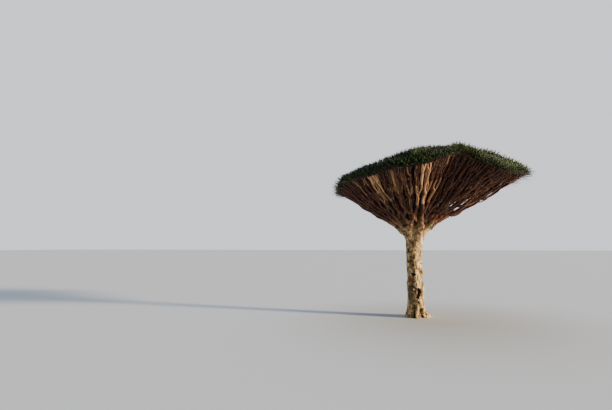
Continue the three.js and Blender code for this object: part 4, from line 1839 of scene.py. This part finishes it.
@dataclass(frozen=True)
class Lamp:
    """A large soft lamp, far off: where it stands, how wide it looks, and its power and colour."""

    name: str
    azimuth: float
    height: float
    angle: float
    power: float
    colour: str

    def build(self) -> None:
        """Hangs the lamp, turned to the middle."""
        lamp = bpy.data.lights.new(self.name, "SUN")
        lamp.angle = math.radians(self.angle)
        lamp.energy = self.power
        lamp.color = linear(self.colour)[:3]
        height = math.radians(self.height)
        towards = level_way(math.radians(self.azimuth)) * math.cos(height) + UP * math.sin(height)
        make_object(self.name, lamp).rotation_euler = towards.to_track_quat("Z", "Y").to_euler()


@dataclass(frozen=True)
class Studio:
    """A pale floor under soft light, seen from where the viewer stands.

    The fill that the sky gives is weaker than the sky looks, so that the low key light models the trunk.
    """

    floor_side: float = 600.0
    floor_colour: str = "#C0CBD6"
    floor_roughness: float = 0.9
    sky_colour: str = "#E6E9EE"
    sky_strength: float = 1.3
    fill_strength: float = 0.12
    lamps: tuple[Lamp, ...] = (
        Lamp("key", azimuth=-3, height=12, angle=6, power=11, colour="#FFE3BE"),
        Lamp("overhead", azimuth=110, height=72, angle=80, power=2.0, colour="#EDF2FF"),
    )
    viewer: Place = (0.0, -14.64, 2.35)
    lens: float = 24.0
    sensor: float = 36.0
    yaw: float = 14.77
    pitch: float = 5.88
    sight: float = 900.0

    def build(self) -> None:
        """Builds the floor, the lights and the camera."""
        self._floor()
        self._light()
        self._camera()

    def _floor(self) -> None:
        """Lays the floor."""
        bpy.ops.object.select_all(action="DESELECT")
        bpy.ops.mesh.primitive_plane_add(size=self.floor_side)
        floor = bpy.context.active_object
        floor.name = "floor"
        material, tree = new_material("floor_paint")
        surface = {"Base Color": linear(self.floor_colour), "Roughness": self.floor_roughness}
        add(tree, "OutputMaterial", {"Surface": add(tree, "BsdfPrincipled", surface)})
        floor.data.materials.append(material)
        floor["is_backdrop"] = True

    def _light(self) -> None:
        """Sets the sky that the camera sees, the even fill that it gives, and the lamps."""
        world = bpy.data.worlds.new("studio")
        world.use_nodes = True
        tree = world.node_tree
        tree.nodes.clear()
        sky, fill = (
            add(tree, "Background", {"Color": linear(self.sky_colour), "Strength": strength})
            for strength in (self.sky_strength, self.fill_strength)
        )
        seen = add(tree, "LightPath", {}, "Is Camera Ray")
        add(tree, "OutputWorld", {"Surface": add(tree, "MixShader", {0: seen, 1: fill, 2: sky})})
        bpy.context.scene.world = world
        for lamp in self.lamps:
            lamp.build()

    def _camera(self) -> None:
        """Sets the camera."""
        camera = bpy.data.cameras.new("viewer")
        camera.lens = self.lens
        camera.sensor_width = self.sensor
        camera.clip_end = self.sight
        viewer = make_object("viewer", camera)
        viewer.location = self.viewer
        viewer.rotation_euler = (math.radians(90 + self.pitch), 0, math.radians(self.yaw))
        bpy.context.scene.camera = viewer


def corners() -> list[list[float]]:
    """Gives the lowest and the highest corner of what shows."""
    return [list(corner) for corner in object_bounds()]


def main() -> None:
    """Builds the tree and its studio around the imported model."""
    logging.basicConfig(level=logging.INFO, format="%(name)s %(message)s")
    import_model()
    Tree().build()
    Studio().build()


if __name__ == "__main__":
    main()
